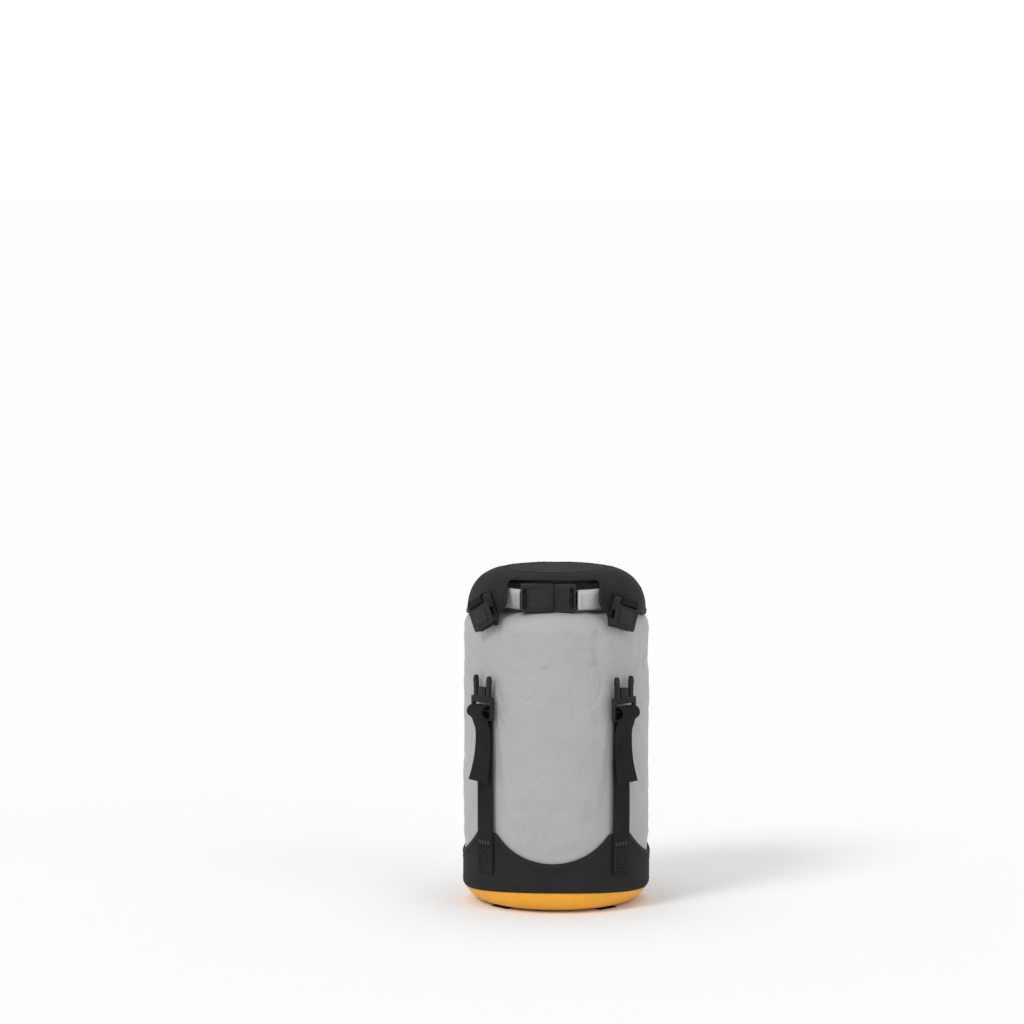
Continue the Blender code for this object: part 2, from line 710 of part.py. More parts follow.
base_panel()
base_cross()
sack_body()
stuffing()
base_reinforcement()
straps_and_lid_buckles()
rolled_collar()
collar()
closure_tabs()
closure_female()
closure_male()
lid_crown()
lid_shell()
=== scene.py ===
import json
import math
from contextlib import contextmanager

import bmesh
import bpy
import numpy as np
from mathutils import Matrix, Vector, noise
from mathutils.bvhtree import BVHTree


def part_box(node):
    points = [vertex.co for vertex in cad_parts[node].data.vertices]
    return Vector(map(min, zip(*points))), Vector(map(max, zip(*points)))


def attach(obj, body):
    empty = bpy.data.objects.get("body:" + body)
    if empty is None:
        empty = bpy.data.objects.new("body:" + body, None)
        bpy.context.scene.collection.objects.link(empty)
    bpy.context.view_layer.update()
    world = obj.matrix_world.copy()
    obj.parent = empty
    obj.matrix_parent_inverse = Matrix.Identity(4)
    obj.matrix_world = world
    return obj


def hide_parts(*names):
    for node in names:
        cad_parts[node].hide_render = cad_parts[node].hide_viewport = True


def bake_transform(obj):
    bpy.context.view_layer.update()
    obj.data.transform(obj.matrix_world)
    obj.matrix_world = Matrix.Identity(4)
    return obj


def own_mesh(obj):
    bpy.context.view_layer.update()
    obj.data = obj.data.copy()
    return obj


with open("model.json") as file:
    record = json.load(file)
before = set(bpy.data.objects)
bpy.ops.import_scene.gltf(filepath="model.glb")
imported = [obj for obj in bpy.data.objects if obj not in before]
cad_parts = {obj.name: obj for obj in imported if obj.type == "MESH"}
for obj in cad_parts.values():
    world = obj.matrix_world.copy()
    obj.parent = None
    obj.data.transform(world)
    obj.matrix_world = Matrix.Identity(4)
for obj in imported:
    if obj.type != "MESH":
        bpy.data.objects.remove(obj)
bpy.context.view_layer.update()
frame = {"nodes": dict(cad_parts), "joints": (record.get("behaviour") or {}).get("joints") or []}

# ---------------------------------------------------------------- sizes, from the frame
STATIONS = {"front_right": 45, "rear_right": 135, "rear_left": 225, "front_left": 315}
JOINTS = {joint["name"]: joint for joint in frame["joints"]}
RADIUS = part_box("sack_body")[1].x
BODY_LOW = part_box("sack_body")[0].z
BODY_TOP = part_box("sack_body")[1].z
BAND_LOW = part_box("base_reinforcement")[0].z
BAND_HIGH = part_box("base_reinforcement")[1].z
BAND_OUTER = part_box("base_reinforcement")[1].x
BASE_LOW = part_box("base_panel")[0].z
BASE_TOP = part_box("base_panel")[1].z
WEB_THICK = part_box("base_cross_webbing")[1].z
LID_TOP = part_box("lid_crown")[1].z
LID_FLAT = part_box("lid_crown")[1].x
LID_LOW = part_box("lid_shell")[0].z
ROLL_LOW, ROLL_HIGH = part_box("rolled_collar")[0].z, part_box("rolled_collar")[1].z
TRAVEL = -JOINTS["compression"]["range_m"][0]

MM = 0.001
FULL_TURN = 2 * math.pi
QUARTER_TURN = math.pi / 2
WEB_WIDE = 18 * MM
CLOTH = 1.2 * MM
# the lid's shoulder, and the height at which its wall turns into it
LID_ROUND = 35 * MM
LID_SPRING = LID_TOP - LID_ROUND - 0.5 * MM
# the dished base: its corner, the flat inside it, and the height of the corner's centre
BASE_ROUND = 17 * MM
BASE_FLAT = RADIUS - BASE_ROUND
BASE_MIDDLE = BASE_LOW + BASE_ROUND
# distances from the axis to the back of the straps and the two halves of a buckle
STRAP_BACK = 76.8 * MM
PLUG_BACK, PLUG_THICK = 78.6 * MM, 3.4 * MM
SOCKET_BACK, SOCKET_THICK = 77.0 * MM, 6.6 * MM


# ---------------------------------------------------------------- small helpers
def clamp(value, low=0.0, high=1.0):
    return min(high, max(low, value))


def full_turn(count):
    """Evenly spaced angles round the sack."""
    return np.linspace(0, FULL_TURN, count + 1)[:-1]


def lengths_along(points):
    """The distance along a line to each of its points."""
    return np.concatenate([[0], np.cumsum(np.linalg.norm(np.diff(points, axis=0), axis=1))])


def alike(vector, count):
    return np.repeat(np.array(vector)[None], count, axis=0)


def smooth_noise(point, scale, seed=0.0):
    """Smooth noise from -1 to 1 whose features are about scale metres across."""
    p = Vector(point) / scale
    return noise.noise(Vector((p.x + seed * 7.31, p.y - seed * 3.17, p.z + seed * 5.93)))


def radial(theta, radius, z):
    """The point at that angle from the front, in radians, towards +X."""
    return np.array((radius * math.sin(theta), -radius * math.cos(theta), z))


def unit(vector):
    length = np.linalg.norm(vector)
    return vector / length if length > 1e-12 else vector


def station_axes(turn):
    """The directions across and away from the sack at a station."""
    theta = math.radians(turn)
    across = np.array((math.cos(theta), math.sin(theta), 0.0))
    outward = np.array((math.sin(theta), -math.cos(theta), 0.0))
    return across, outward


# ---------------------------------------------------------------- mesh helpers
def new_object(name, mesh, body, paint):
    """An object that rides on a body, or on none."""
    obj = bpy.data.objects.new(name, mesh)
    bpy.context.scene.collection.objects.link(obj)
    mesh.materials.clear()
    mesh.materials.append(paint)
    if body:
        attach(obj, body)
    return obj


def mesh_from(name, points, faces, uvs=None):
    """A smooth mesh, with one UV in metres for each point."""
    mesh = bpy.data.meshes.new(name)
    mesh.from_pydata([tuple(map(float, p)) for p in points], [], [tuple(map(int, f)) for f in faces])
    mesh.validate()
    if uvs is not None:
        layer = mesh.uv_layers.new(name="cloth")
        index = np.zeros(len(mesh.loops), np.int32)
        mesh.loops.foreach_get("vertex_index", index)
        layer.data.foreach_set("uv", np.asarray(uvs, np.float32)[index].ravel())
    mesh.shade_smooth()
    return mesh


def grid_faces(rows, columns, closed):
    """Quads between the rows of a grid, whose columns may join up."""
    faces = []
    for i in range(rows - 1):
        for j in range(columns if closed else columns - 1):
            k = (j + 1) % columns
            faces.append((i * columns + j, i * columns + k, (i + 1) * columns + k, (i + 1) * columns + j))
    return faces


def ring_uvs(angles, radius, stations):
    """UVs in metres for rows at those stations, round a closed ring of that radius."""
    return np.stack(np.meshgrid(np.append(angles, FULL_TURN) * radius, stations), axis=2)


def grid_mesh(name, points, uvs, closed=False):
    """A mesh from rows of points, in an array of rows by columns by 3. A closed grid gets a UV seam."""
    rows, columns = points.shape[:2]
    if closed:
        points = np.concatenate([points, points[:, :1]], axis=1)
    faces = grid_faces(rows, points.shape[1], False)
    mesh = mesh_from(name, points.reshape(-1, 3), faces, uvs.reshape(-1, 2))
    if closed:
        weld(mesh, 1e-6)
    return mesh


@contextmanager
def editing(mesh):
    """Opens the mesh for bmesh operations and writes it back afterwards."""
    work = bmesh.new()
    work.from_mesh(mesh)
    yield work
    work.to_mesh(mesh)
    work.free()


def weld(mesh, distance=1e-5):
    with editing(mesh) as work:
        bmesh.ops.remove_doubles(work, verts=work.verts, dist=distance)
    mesh.shade_smooth()


def close_holes(mesh, reach=math.inf):
    """Fills the openings within reach of the axis, and turns the faces outwards."""
    with editing(mesh) as work:
        edges = [e for e in work.edges if e.is_boundary and e.verts[0].co.xy.length < reach]
        bmesh.ops.holes_fill(work, edges=edges, sides=0)
        bmesh.ops.recalc_face_normals(work, faces=work.faces)


def thicken(obj, thickness, offset=-1.0):
    """Gives an open surface its thickness, inwards at offset -1."""
    modifier = obj.modifiers.new("thickness", "SOLIDIFY")
    modifier.thickness = thickness
    modifier.offset = offset
    modifier.use_even_offset = False


def soften(obj, name, width, segments, corner):
    """Rounds the edges that turn by more than corner degrees."""
    bevel = obj.modifiers.new(name, "BEVEL")
    bevel.width, bevel.segments = width, segments
    bevel.limit_method = "ANGLE"
    bevel.angle_limit = math.radians(corner)


def sweep(name, centres, sides, ups, section, closed=False):
    """A mesh that carries a closed section along a line. Its two numbers run along sides and ups."""
    count = len(centres)
    outline = np.asarray(section, float)
    points = [c + outline[:, :1] * s + outline[:, 1:] * u for c, s, u in zip(centres, sides, ups)]
    uvs = [(u, v) for v in lengths_along(centres) for u in lengths_along(outline)]
    size = len(outline)
    faces = []
    for i in range(count if closed else count - 1):
        k = (i + 1) % count
        for j in range(size):
            m = (j + 1) % size
            faces.append((i * size + j, i * size + m, k * size + m, k * size + j))
    if not closed:
        faces.append(tuple(range(size))[::-1])
        faces.append(tuple((count - 1) * size + j for j in range(size)))
    mesh = mesh_from(name, np.concatenate(points), faces, uvs)
    mesh.set_sharp_from_angle(angle=math.radians(55))
    return face_outwards(mesh)


def face_away(mesh, centre):
    """Turns the faces of an open shell away from a point inside it."""
    outward = sum((p.center - Vector(centre)).dot(p.normal) * p.area for p in mesh.polygons)
    if outward < 0:
        mesh.flip_normals()
    return mesh


def face_outwards(mesh):
    with editing(mesh) as work:
        bmesh.ops.recalc_face_normals(work, faces=work.faces)
    return mesh


def tangents(points, closed=False):
    """Unit directions along a line of points."""
    if closed:
        ahead = np.roll(points, -1, axis=0) - np.roll(points, 1, axis=0)
    else:
        ahead = np.gradient(points, axis=0)
    return ahead / np.linalg.norm(ahead, axis=1)[:, None]


def resample(points, step):
    """The line again, with points about step apart."""
    points = np.asarray(points, float)
    along = lengths_along(points)
    at = np.linspace(0, along[-1], max(2, int(round(along[-1] / step)) + 1))
    return np.stack([np.interp(at, along, points[:, k]) for k in range(points.shape[1])], axis=1)


def rounded_path(points, times=3):
    """The line with its corners cut, more roundly each time. Its ends stay."""
    points = np.asarray(points, float)
    for _ in range(times):
        first = 0.75 * points[:-1] + 0.25 * points[1:]
        second = 0.25 * points[:-1] + 0.75 * points[1:]
        middle = np.stack([first, second], axis=1).reshape(-1, points.shape[1])
        points = np.concatenate([points[:1], middle, points[-1:]])
    return points


def combined(parts):
    """One list of points and faces from several."""
    points, faces, start = [], [], 0
    for more, sides in parts:
        points.append(more)
        faces += [tuple(start + k for k in side) for side in sides]
        start += len(more)
    return np.concatenate(points), faces


# ---------------------------------------------------------------- materials
def blank(name, colour, roughness, **sockets):
    """A material with a Principled shader and these constant sockets."""
    made = bpy.data.materials.new(name)
    made.use_nodes = True
    shader = made.node_tree.nodes["Principled BSDF"]
    shader.inputs["Base Color"].default_value = (*colour, 1)
    shader.inputs["Roughness"].default_value = roughness
    for socket, value in sockets.items():
        shader.inputs[socket.replace("_", " ")].default_value = value
    return made, shader


class Nodes:
    """Short ways to add nodes to one material."""

    def __init__(self, made):
        self.nodes = made.node_tree.nodes
        self.links = made.node_tree.links

    def put(self, target, value):
        if hasattr(value, "is_output"):
            self.links.new(value, target)
        else:
            target.default_value = value

    def math(self, operation, a, b=None, c=None):
        node = self.nodes.new("ShaderNodeMath")
        node.operation = operation
        for target, value in zip(node.inputs, (a, b, c)):
            if value is not None:
                self.put(target, value)
        return node.outputs[0]

    def uv(self):
        """The two cloth directions, in metres."""
        node = self.nodes.new("ShaderNodeUVMap")
        node.uv_map = "cloth"
        split = self.nodes.new("ShaderNodeSeparateXYZ")
        self.links.new(node.outputs[0], split.inputs[0])
        return split.outputs[0], split.outputs[1]

    def place(self):
        """The point on the object, in metres."""
        return self.nodes.new("ShaderNodeTexCoord").outputs["Object"]

    def noise(self, scale, detail=3.0, roughness=0.5):
        """Noise from 0 to 1 with that many features a metre."""
        node = self.nodes.new("ShaderNodeTexNoise")
        self.links.new(self.place(), node.inputs["Vector"])
        node.inputs["Scale"].default_value = scale
        node.inputs["Detail"].default_value = detail
        node.inputs["Roughness"].default_value = roughness
        return node.outputs[0]

    def wave(self, coordinate, pitch):
        """A sine along one direction, from -1 to 1."""
        return self.math("SINE", self.math("MULTIPLY", coordinate, 2 * math.pi / pitch))

    def ramp(self, value, low, high, first, last):
        """Maps a value between two limits."""
        node = self.nodes.new("ShaderNodeMapRange")
        for target, number in zip(node.inputs, (value, low, high, first, last)):
            self.put(target, number)
        return node.outputs[0]

    def blend(self, share, first, second):
        """Mixes two colours."""
        node = self.nodes.new("ShaderNodeMix")
        node.data_type = "RGBA"
        self.put(node.inputs["Factor"], share)
        self.put(node.inputs[6], first if hasattr(first, "is_output") else (*first, 1))
        self.put(node.inputs[7], second if hasattr(second, "is_output") else (*second, 1))
        return node.outputs[2]

    def bump(self, shader, height, strength, distance):
        node = self.nodes.new("ShaderNodeBump")
        node.inputs["Strength"].default_value = strength
        node.inputs["Distance"].default_value = distance
        self.links.new(height, node.inputs["Height"])
        self.links.new(node.outputs[0], shader.inputs["Normal"])


def shade(colour, factor):
    """The colour, lighter or darker by that factor."""
    return tuple(min(1.0, c * factor) for c in colour)


def cloth(name, colour, pitch, relief, roughness, mottle=0.06, sheen=0.05, gloss=0.2, scuff=0.0):
    """Plain-woven fabric: crossing threads that vary a little, mottling, creases and scuffs."""
    made, shader = blank(name, colour, roughness, Sheen_Weight=sheen, Sheen_Roughness=0.45,
                         Specular_IOR_Level=gloss)
    n = Nodes(made)
    u, v = n.uv()
    over = n.math("MULTIPLY", n.wave(u, pitch), n.wave(v, pitch))
    slub = n.math("MULTIPLY", n.math("SUBTRACT", n.noise(900.0, 2.0), 0.5), 0.8)
    height = n.math("ADD", n.math("MULTIPLY", over, 0.5), slub)
    tone = n.ramp(n.noise(38.0, 4.0), 0.3, 0.7, 0.0, 1.0)
    base = n.blend(tone, shade(colour, 1 - mottle), shade(colour, 1 + mottle))
    thread = n.ramp(over, -1.0, 1.0, 0.0, 0.35)
    base = n.blend(thread, base, shade(colour, 0.80))
    if scuff:
        worn = n.ramp(n.noise(260.0, 6.0, 0.7), 0.56, 0.74, 0.0, scuff)
        base = n.blend(worn, base, shade(colour, 2.2))
    n.links.new(base, shader.inputs["Base Color"])
    n.put(shader.inputs["Roughness"], n.ramp(n.noise(90.0), 0.2, 0.8, roughness - 0.06, roughness + 0.06))
    crease = n.math("MULTIPLY", n.noise(110.0, 5.0, 0.6), 2.5)
    n.bump(shader, n.math("ADD", height, crease), 0.55, relief)
    return made


def webbing(name, colour):
    """Ribbed narrow weave: chevron ribs across the strap, in columns along it, with painted shade in the
    grooves between the ribs.
    """
    made, shader = blank(name, colour, 0.75, Specular_IOR_Level=0.08)
    n = Nodes(made)
    u, v = n.uv()
    slant = n.math("PINGPONG", u, 2.25 * MM)
    ribs = n.wave(n.math("ADD", v, slant), 1.3 * MM)
    columns = n.wave(u, 2.25 * MM)
    height = n.math("ADD", n.math("MULTIPLY", ribs, 0.6), n.math("MULTIPLY", columns, 0.3))
    tone = n.ramp(n.noise(60.0, 4.0), 0.3, 0.7, 0.0, 1.0)
    base = n.blend(tone, shade(colour, 0.82), shade(colour, 1.25))
    worn = n.ramp(n.noise(420.0, 5.0, 0.7), 0.55, 0.75, 0.0, 0.25)
    base = n.blend(worn, base, shade(colour, 2.4))
    # painted shade: the colour darkens in the grooves between the ribs
    groove_shade = n.ramp(ribs, -1.0, 0.6, 0.5, 0.0)
    n.links.new(n.blend(groove_shade, base, shade(colour, 0.45)), shader.inputs["Base Color"])
    n.bump(shader, height, 0.7, 0.25 * MM)
    return made


def plastic(name, colour, roughness):
    """Moulded acetal: fine spark-eroded grain, softly polished, and convex edges painted paler, partly as
    wear and partly as a painted highlight.
    """
    made, shader = blank(name, colour, roughness, Specular_IOR_Level=0.18)
    n = Nodes(made)
    geometry = n.nodes.new("ShaderNodeNewGeometry")
    # convex edges painted paler: partly wear, partly a painted highlight where the edges catch the light
    edges = n.ramp(geometry.outputs["Pointiness"], 0.51, 0.60, 0.0, 0.5)
    edge_wear_and_highlight = n.math("MULTIPLY", edges, n.ramp(n.noise(700.0, 4.0, 0.6), 0.35, 0.65, 0.2, 1.0))
    tone = n.ramp(n.noise(120.0, 3.0), 0.3, 0.7, 0.0, 1.0)
    base = n.blend(tone, shade(colour, 0.85), shade(colour, 1.15))
    n.links.new(n.blend(edge_wear_and_highlight, base, shade(colour, 3.0)), shader.inputs["Base Color"])
    smears = n.ramp(n.noise(350.0, 4.0), 0.3, 0.7, roughness - 0.07, roughness + 0.09)
    n.put(shader.inputs["Roughness"], smears)
    n.bump(shader, n.noise(5200.0, 2.0), 0.25, 0.05 * MM)
    return made


def thread_paint(name, colour):
    """Bonded thread, whose plies twist, painted darker in the grooves between plies and lighter on their
    crests, as painted shade and highlight.
    """
    made, shader = blank(name, colour, 0.5, Specular_IOR_Level=0.3)
    n = Nodes(made)
    twist = n.nodes.new("ShaderNodeTexWave")
    twist.inputs["Scale"].default_value = 900.0
    n.links.new(n.place(), twist.inputs["Vector"])
    # painted shade and highlight: darker where the twist sinks, lighter on its crests
    ply_shade_and_highlight = n.blend(twist.outputs["Fac"], shade(colour, 0.7), shade(colour, 1.4))
    n.links.new(ply_shade_and_highlight, shader.inputs["Base Color"])
    n.bump(shader, twist.outputs["Fac"], 0.3, 0.05 * MM)
    return made


GREY = cloth("grey_nylon", (0.40, 0.40, 0.403), 0.5 * MM, 0.11 * MM, 0.48, 0.04, gloss=0.35)
# the same grey nylon painted lighter: a painted highlight for the rolled mouth and the gathered collar
GREY_ROLL_PAINTED_LIGHTER = cloth("grey_nylon_rolled", (0.46, 0.46, 0.463), 0.5 * MM, 0.07 * MM, 0.38, 0.05, gloss=0.5)
CHARCOAL = cloth("charcoal_nylon", (0.022, 0.022, 0.0224), 0.8 * MM, 0.12 * MM, 0.68, 0.12, 0.0, 0.08, 0.10)
BINDING = cloth("charcoal_binding", (0.018, 0.018, 0.0184), 0.6 * MM, 0.10 * MM, 0.60, 0.12, 0.0, 0.12, 0.10)
YELLOW = cloth("yellow_nylon", (0.86, 0.40, 0.036), 0.6 * MM, 0.07 * MM, 0.50, 0.05)
LOAD = cloth("load_nylon", (0.16, 0.17, 0.19), 0.5 * MM, 0.05 * MM, 0.55, 0.10)
STRAP = webbing("black_webbing", (0.018, 0.018, 0.0184))
PLASTIC = plastic("black_acetal", (0.014, 0.014, 0.0144), 0.42)
THREAD = thread_paint("charcoal_thread", (0.045, 0.045, 0.046))
GREY_THREAD = thread_paint("grey_thread", (0.36, 0.36, 0.365))


# ---------------------------------------------------------------- stitching
def stitch_shape():
    """A small spindle along X, 1 long and 1 thick."""
    rings, sides = 5, 6
    points = [(-0.5, 0.0, 0.0)]
    for i in range(1, rings):
        along = i / rings - 0.5
        girth = 0.5 * math.sin(math.pi * i / rings) ** 0.5
        for k in range(sides):
            turn = 2 * math.pi * k / sides
            points.append((along, girth * math.cos(turn), girth * math.sin(turn)))
    points.append((0.5, 0.0, 0.0))
    faces = [(0, 1 + (k + 1) % sides, 1 + k) for k in range(sides)]
    for i in range(rings - 2):
        start = 1 + i * sides
        for k in range(sides):
            m = (k + 1) % sides
            faces.append((start + k, start + m, start + sides + m, start + sides + k))
    last = 1 + (rings - 2) * sides
    faces += [(last + k, last + (k + 1) % sides, last + sides) for k in range(sides)]
    return np.array(points), faces


STITCH_POINTS, STITCH_FACES = stitch_shape()


def stitches(points, normals, length=2.4 * MM, gap=0.7 * MM, thick=0.42 * MM):
    """Stitches along a line, half sunk in the cloth whose normals are given."""
    both = resample(np.concatenate([points, normals], axis=1), (length + gap) / 3)
    parts = []
    for i in range(0, len(both) - 3, 3):
        start, end = both[i, :3], both[i + 2, :3]
        along = end - start
        normal = unit(both[i + 1, 3:])
        across = unit(np.cross(normal, along))
        shape = STITCH_POINTS * (np.linalg.norm(along) * 1.1, thick, thick)
        middle = (start + end) / 2 + normal * thick * 0.15
        turned = shape[:, :1] * unit(along) + shape[:, 1:2] * across + shape[:, 2:] * normal
        parts.append((turned + middle, STITCH_FACES))
    return parts


def thread_piece(name, rows, body, paint):
    """One piece from several rows of stitches."""
    points, faces = combined([part for row in rows for part in row])
    return new_object(name, mesh_from(name, points, faces), body, paint)


# ---------------------------------------------------------------- the stuffed sack
# below the first height the sack stays with its base, and above the second it moves with its mouth
SACK_FIXED, SACK_FREE = BODY_LOW + 1 * MM, BODY_TOP - 16 * MM
# the reinforcement's upper edge dips between its legs in arcs of this radius, down to this height
BAND_ARC, BAND_DIP = 66 * MM, 41.3 * MM
STRAP_REACH = 16 * MM  # how far from a strap's centre line it presses the cloth in
BULGE = 1.6 * MM  # how far the load may push the cloth out
INFLATION = {"frames": 22, "pressure": 4.0, "growth": 0.02}
INFLATION_LIMIT = 2.5 * MM
BACK_SEAM_HALF = 2.4 * MM
# the sack's outline: (distance from the axis, height) in millimetres
OUTLINE = np.array((
    (74.2, 18), (74.5, 60), (74.6, 226), (74.5, 229), (73.9, 231.5), (72.6, 233.6), (70.6, 235.8),
    (67.8, 238.1), (64.2, 239.9), (59.5, 241.1), (54, 241.7), (44, 241.9),
)) * MM


def simulate(obj, pinned, frames, pressure, growth):
    """Cloth under pressure, held at its pinned points, with growth more cloth than the shape needs."""
    group = obj.vertex_groups.new(name="pinned")
    group.add(pinned, 1.0, "REPLACE")
    modifier = obj.modifiers.new("cloth", "CLOTH")
    settings = modifier.settings
    settings.quality = 6
    settings.mass = 0.3
    settings.tension_stiffness = settings.compression_stiffness = 15
    settings.shear_stiffness = 5
    settings.bending_stiffness = 0.5
    settings.use_pressure = True
    settings.uniform_pressure_force = pressure
    settings.vertex_group_mass = "pinned"
    settings.shrink_min = -growth
    settings.effector_weights.gravity = 0
    modifier.collision_settings.use_collision = False
    modifier.point_cache.frame_start, modifier.point_cache.frame_end = 1, frames
    for step in range(1, frames + 1):
        bpy.context.scene.frame_set(step)
    graph = bpy.context.evaluated_depsgraph_get()
    mesh = obj.evaluated_get(graph).to_mesh()
    moved = np.zeros(len(mesh.vertices) * 3, np.float32)
    mesh.vertices.foreach_get("co", moved)
    obj.evaluated_get(graph).to_mesh_clear()
    obj.modifiers.remove(modifier)
    bpy.context.scene.frame_set(1)
    return moved.reshape(-1, 3).astype(float)


def away_from(theta, first):
    """The angle to the nearest of four directions a quarter turn apart."""
    return (theta - first + QUARTER_TURN / 2) % QUARTER_TURN - QUARTER_TURN / 2


def band_edge(theta):
    """Height of the reinforcement's upper edge at that angle from the front."""
    distance = BAND_OUTER * abs(away_from(theta, 0))
    rise = BAND_ARC - math.sqrt(max(0.0, BAND_ARC**2 - distance**2))
    return min(BAND_DIP + rise, BAND_HIGH)


def strap_nearness(theta):
    """1 on a strap's centre line, falling to 0 at its reach."""
    away = abs(away_from(theta, math.pi / 4)) * RADIUS
    return max(0.0, 1.0 - away / STRAP_REACH)


def compressed(z):
    """The height of that part of the sack when the straps are pulled tight."""
    share = clamp((z - SACK_FIXED) / (SACK_FREE - SACK_FIXED))
    return z - TRAVEL * share * share * (3 - 2 * share)


def body_limit(theta, z):
    """How far out the sack may bulge there, clear of the straps, the lid, and the band when compressed."""
    room = BULGE - 1.2 * MM * strap_nearness(theta)
    room *= clamp((LID_LOW - 1 * MM - z) / (12 * MM), 0.05)
    room *= clamp((compressed(z) - band_edge(theta) - 1 * MM) / (6 * MM), 0.05)
    return np.interp(z, OUTLINE[:, 1], OUTLINE[:, 0]) + room


def folds(theta, p):
    """How far the cloth stands out there. The lumps and folds are in millimetres until the end."""
    x, y, z = p
    lumps = 1.0 * smooth_noise(p, 50 * MM, 1) + 0.6 * smooth_noise(p, 17 * MM, 2) - 0.4
    # the cloth is drawn into upright folds by the band at its foot and by the lid at its head
    foot = math.exp(-max(0.0, z - band_edge(theta)) / (30 * MM))
    head = math.exp(-max(0.0, LID_LOW - z) / (18 * MM))
    drawn = smooth_noise((x, y, 0.12 * z), 8 * MM, 3) * (0.20 + 1.1 * foot + 1.2 * head)
    # slack lies in level folds, and creases are thin lines where the noise changes sign
    slack = smooth_noise((x, y, 2.4 * z), 16 * MM, 4) * (0.25 + 0.7 * head)
    creases = 0.0
    for seed, size in ((6, 34 * MM), (7, 19 * MM)):
        line = abs(smooth_noise((x, y, 0.6 * z), size, seed))
        creases -= 0.55 * max(0.0, 1 - line / 0.09) ** 1.5
    return (lumps + drawn + slack + creases) * MM


def neck_lift(theta, r):
    """How much higher the shoulder stands in front, where the neck of the sack meets the roll."""
    share = max(0.0, 1 - abs(theta) / math.radians(36))
    inner = clamp((r - 54.5 * MM) / (3.5 * MM))
    outer = clamp((76 * MM - r) / (6 * MM))
    return 3.0 * MM * math.sin(share * QUARTER_TURN) * inner * outer


def inflated(points, columns):
    """The grid's points after the load has pushed the cloth out between its straps."""
    start = points.reshape(-1, 3)
    faces = grid_faces(len(points), columns, True)
    obj = bpy.data.objects.new("sack_cloth", mesh_from("sack_cloth", start, faces))
    bpy.context.scene.collection.objects.link(obj)
    rows = [0, 1, len(points) - 3, len(points) - 2, len(points) - 1]
    pinned = [i * columns + j for i in rows for j in range(columns)]
    shift = simulate(obj, pinned, **INFLATION) - start
    bpy.data.objects.remove(obj)
    length = np.linalg.norm(shift, axis=1)
    share = np.minimum(length, INFLATION_LIMIT) / np.maximum(length, 1e-9)
    return start + shift * share[:, None]


def finer(mesh):
    """The mesh with every face divided into four, smoothly."""
    obj = bpy.data.objects.new("finer", mesh)
    bpy.context.scene.collection.objects.link(obj)
    modifier = obj.modifiers.new("finer", "SUBSURF")
    modifier.levels = modifier.render_levels = 1
    graph = bpy.context.evaluated_depsgraph_get()
    made = bpy.data.meshes.new_from_object(obj.evaluated_get(graph))
    bpy.data.objects.remove(obj)
    made.shade_smooth()
    return made


def make_body():
    """The grey tube: simulated under the pressure of its load, then kept clear of its neighbours."""
    line = resample(OUTLINE, 2.6 * MM)
    columns = 180
    angles = np.arange(columns) * 2 * math.pi / columns
    points = np.array([[radial(theta, r, z) for theta in angles] for r, z in line])
    uvs = ring_uvs(angles, RADIUS, lengths_along(line))
    shape = inflated(points, columns).reshape(points.shape)
    mesh = finer(grid_mesh("sack_coarse", shape, uvs, closed=True))
    mesh.name = "sack_fabric"
    for vertex in mesh.vertices:
        x, y, z = vertex.co
        theta = math.atan2(x, -y)
        fade = clamp((BODY_TOP - 5 * MM - z) / (12 * MM))
        r = math.hypot(x, y) + folds(theta, (x, y, z)) * fade
        r = min(r, body_limit(theta, z))
        lift = neck_lift(theta, r) if z > LID_LOW - 4 * MM else 0.0
        top = BODY_TOP + (1.2 if lift else 0.2) * MM
        vertex.co = radial(theta, r, min(z + lift, top))
    face_away(mesh, (0, 0, BODY_TOP / 2))
    obj = new_object("sack_fabric", mesh, None, GREY)
    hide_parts("sack_body")
    return obj


def load_point(low, high, theta, share):
    """A point on a quilted, rounded part of the load, that share of the way up it."""
    swell = math.sin(math.pi * clamp(share, 0.001, 0.999)) ** 0.18
    quilt = 0.6 * MM * abs(math.sin(6 * theta)) - 3.2 * MM
    end = 0.02 if share in (0, 1) else 1.0
    return radial(theta, (high.x + quilt) * swell * end, low.z + (high.z - low.z) * share)


def make_load(part):
    """The lower or upper part of the stuffing, out of sight inside the cloth."""
    low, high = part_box(f"stuffing_{part}")
    tall = high.z - low.z
    shares, angles = np.linspace(0, 1, 14), full_turn(48)
    points = np.array([[load_point(low, high, theta, share) for theta in angles] for share in shares])
    uvs = ring_uvs(angles, high.x, shares * tall)
    mesh = grid_mesh(f"load_{part}", points, uvs, closed=True)
    close_holes(mesh)
    obj = new_object(mesh.name, mesh, "sack", LOAD)
    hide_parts(f"stuffing_{part}")
    if part == "upper":
        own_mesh(obj)


body_obj = make_body()
make_load("lower")
make_load("upper")


# ---------------------------------------------------------------- base
def base_point(theta, s):
    """A point on the yellow base, s along it from under the band to the middle of the underside."""
    wall = BASE_TOP - BASE_MIDDLE
    corner = BASE_ROUND * QUARTER_TURN
    pucker = 0.35 * MM * math.sin(theta * 46 + 3 * smooth_noise(radial(theta, RADIUS, 0), 40 * MM))
    pucker *= math.exp(-((s - wall) / (7 * MM)) ** 2)
    swell = 0.5 * MM * smooth_noise(radial(theta, RADIUS, 0.03), 30 * MM, 5)
    swell *= math.exp(-((s - 14 * MM) / (9 * MM)) ** 2)
    if s < wall:
        return radial(theta, RADIUS + 0.1 * MM, BASE_TOP - s)
    if s < wall + corner:
        a = (s - wall) / BASE_ROUND
        out = BASE_ROUND + pucker + swell
        z = max(BASE_MIDDLE - out * math.sin(a), BASE_LOW)
        return radial(theta, BASE_FLAT + out * math.cos(a), z)
    r = max(BASE_FLAT - (s - wall - corner), 0.3 * MM)
    return radial(theta, r, BASE_LOW + 0.1 * MM * max(0, smooth_noise(radial(theta, r, 0), 14 * MM)))


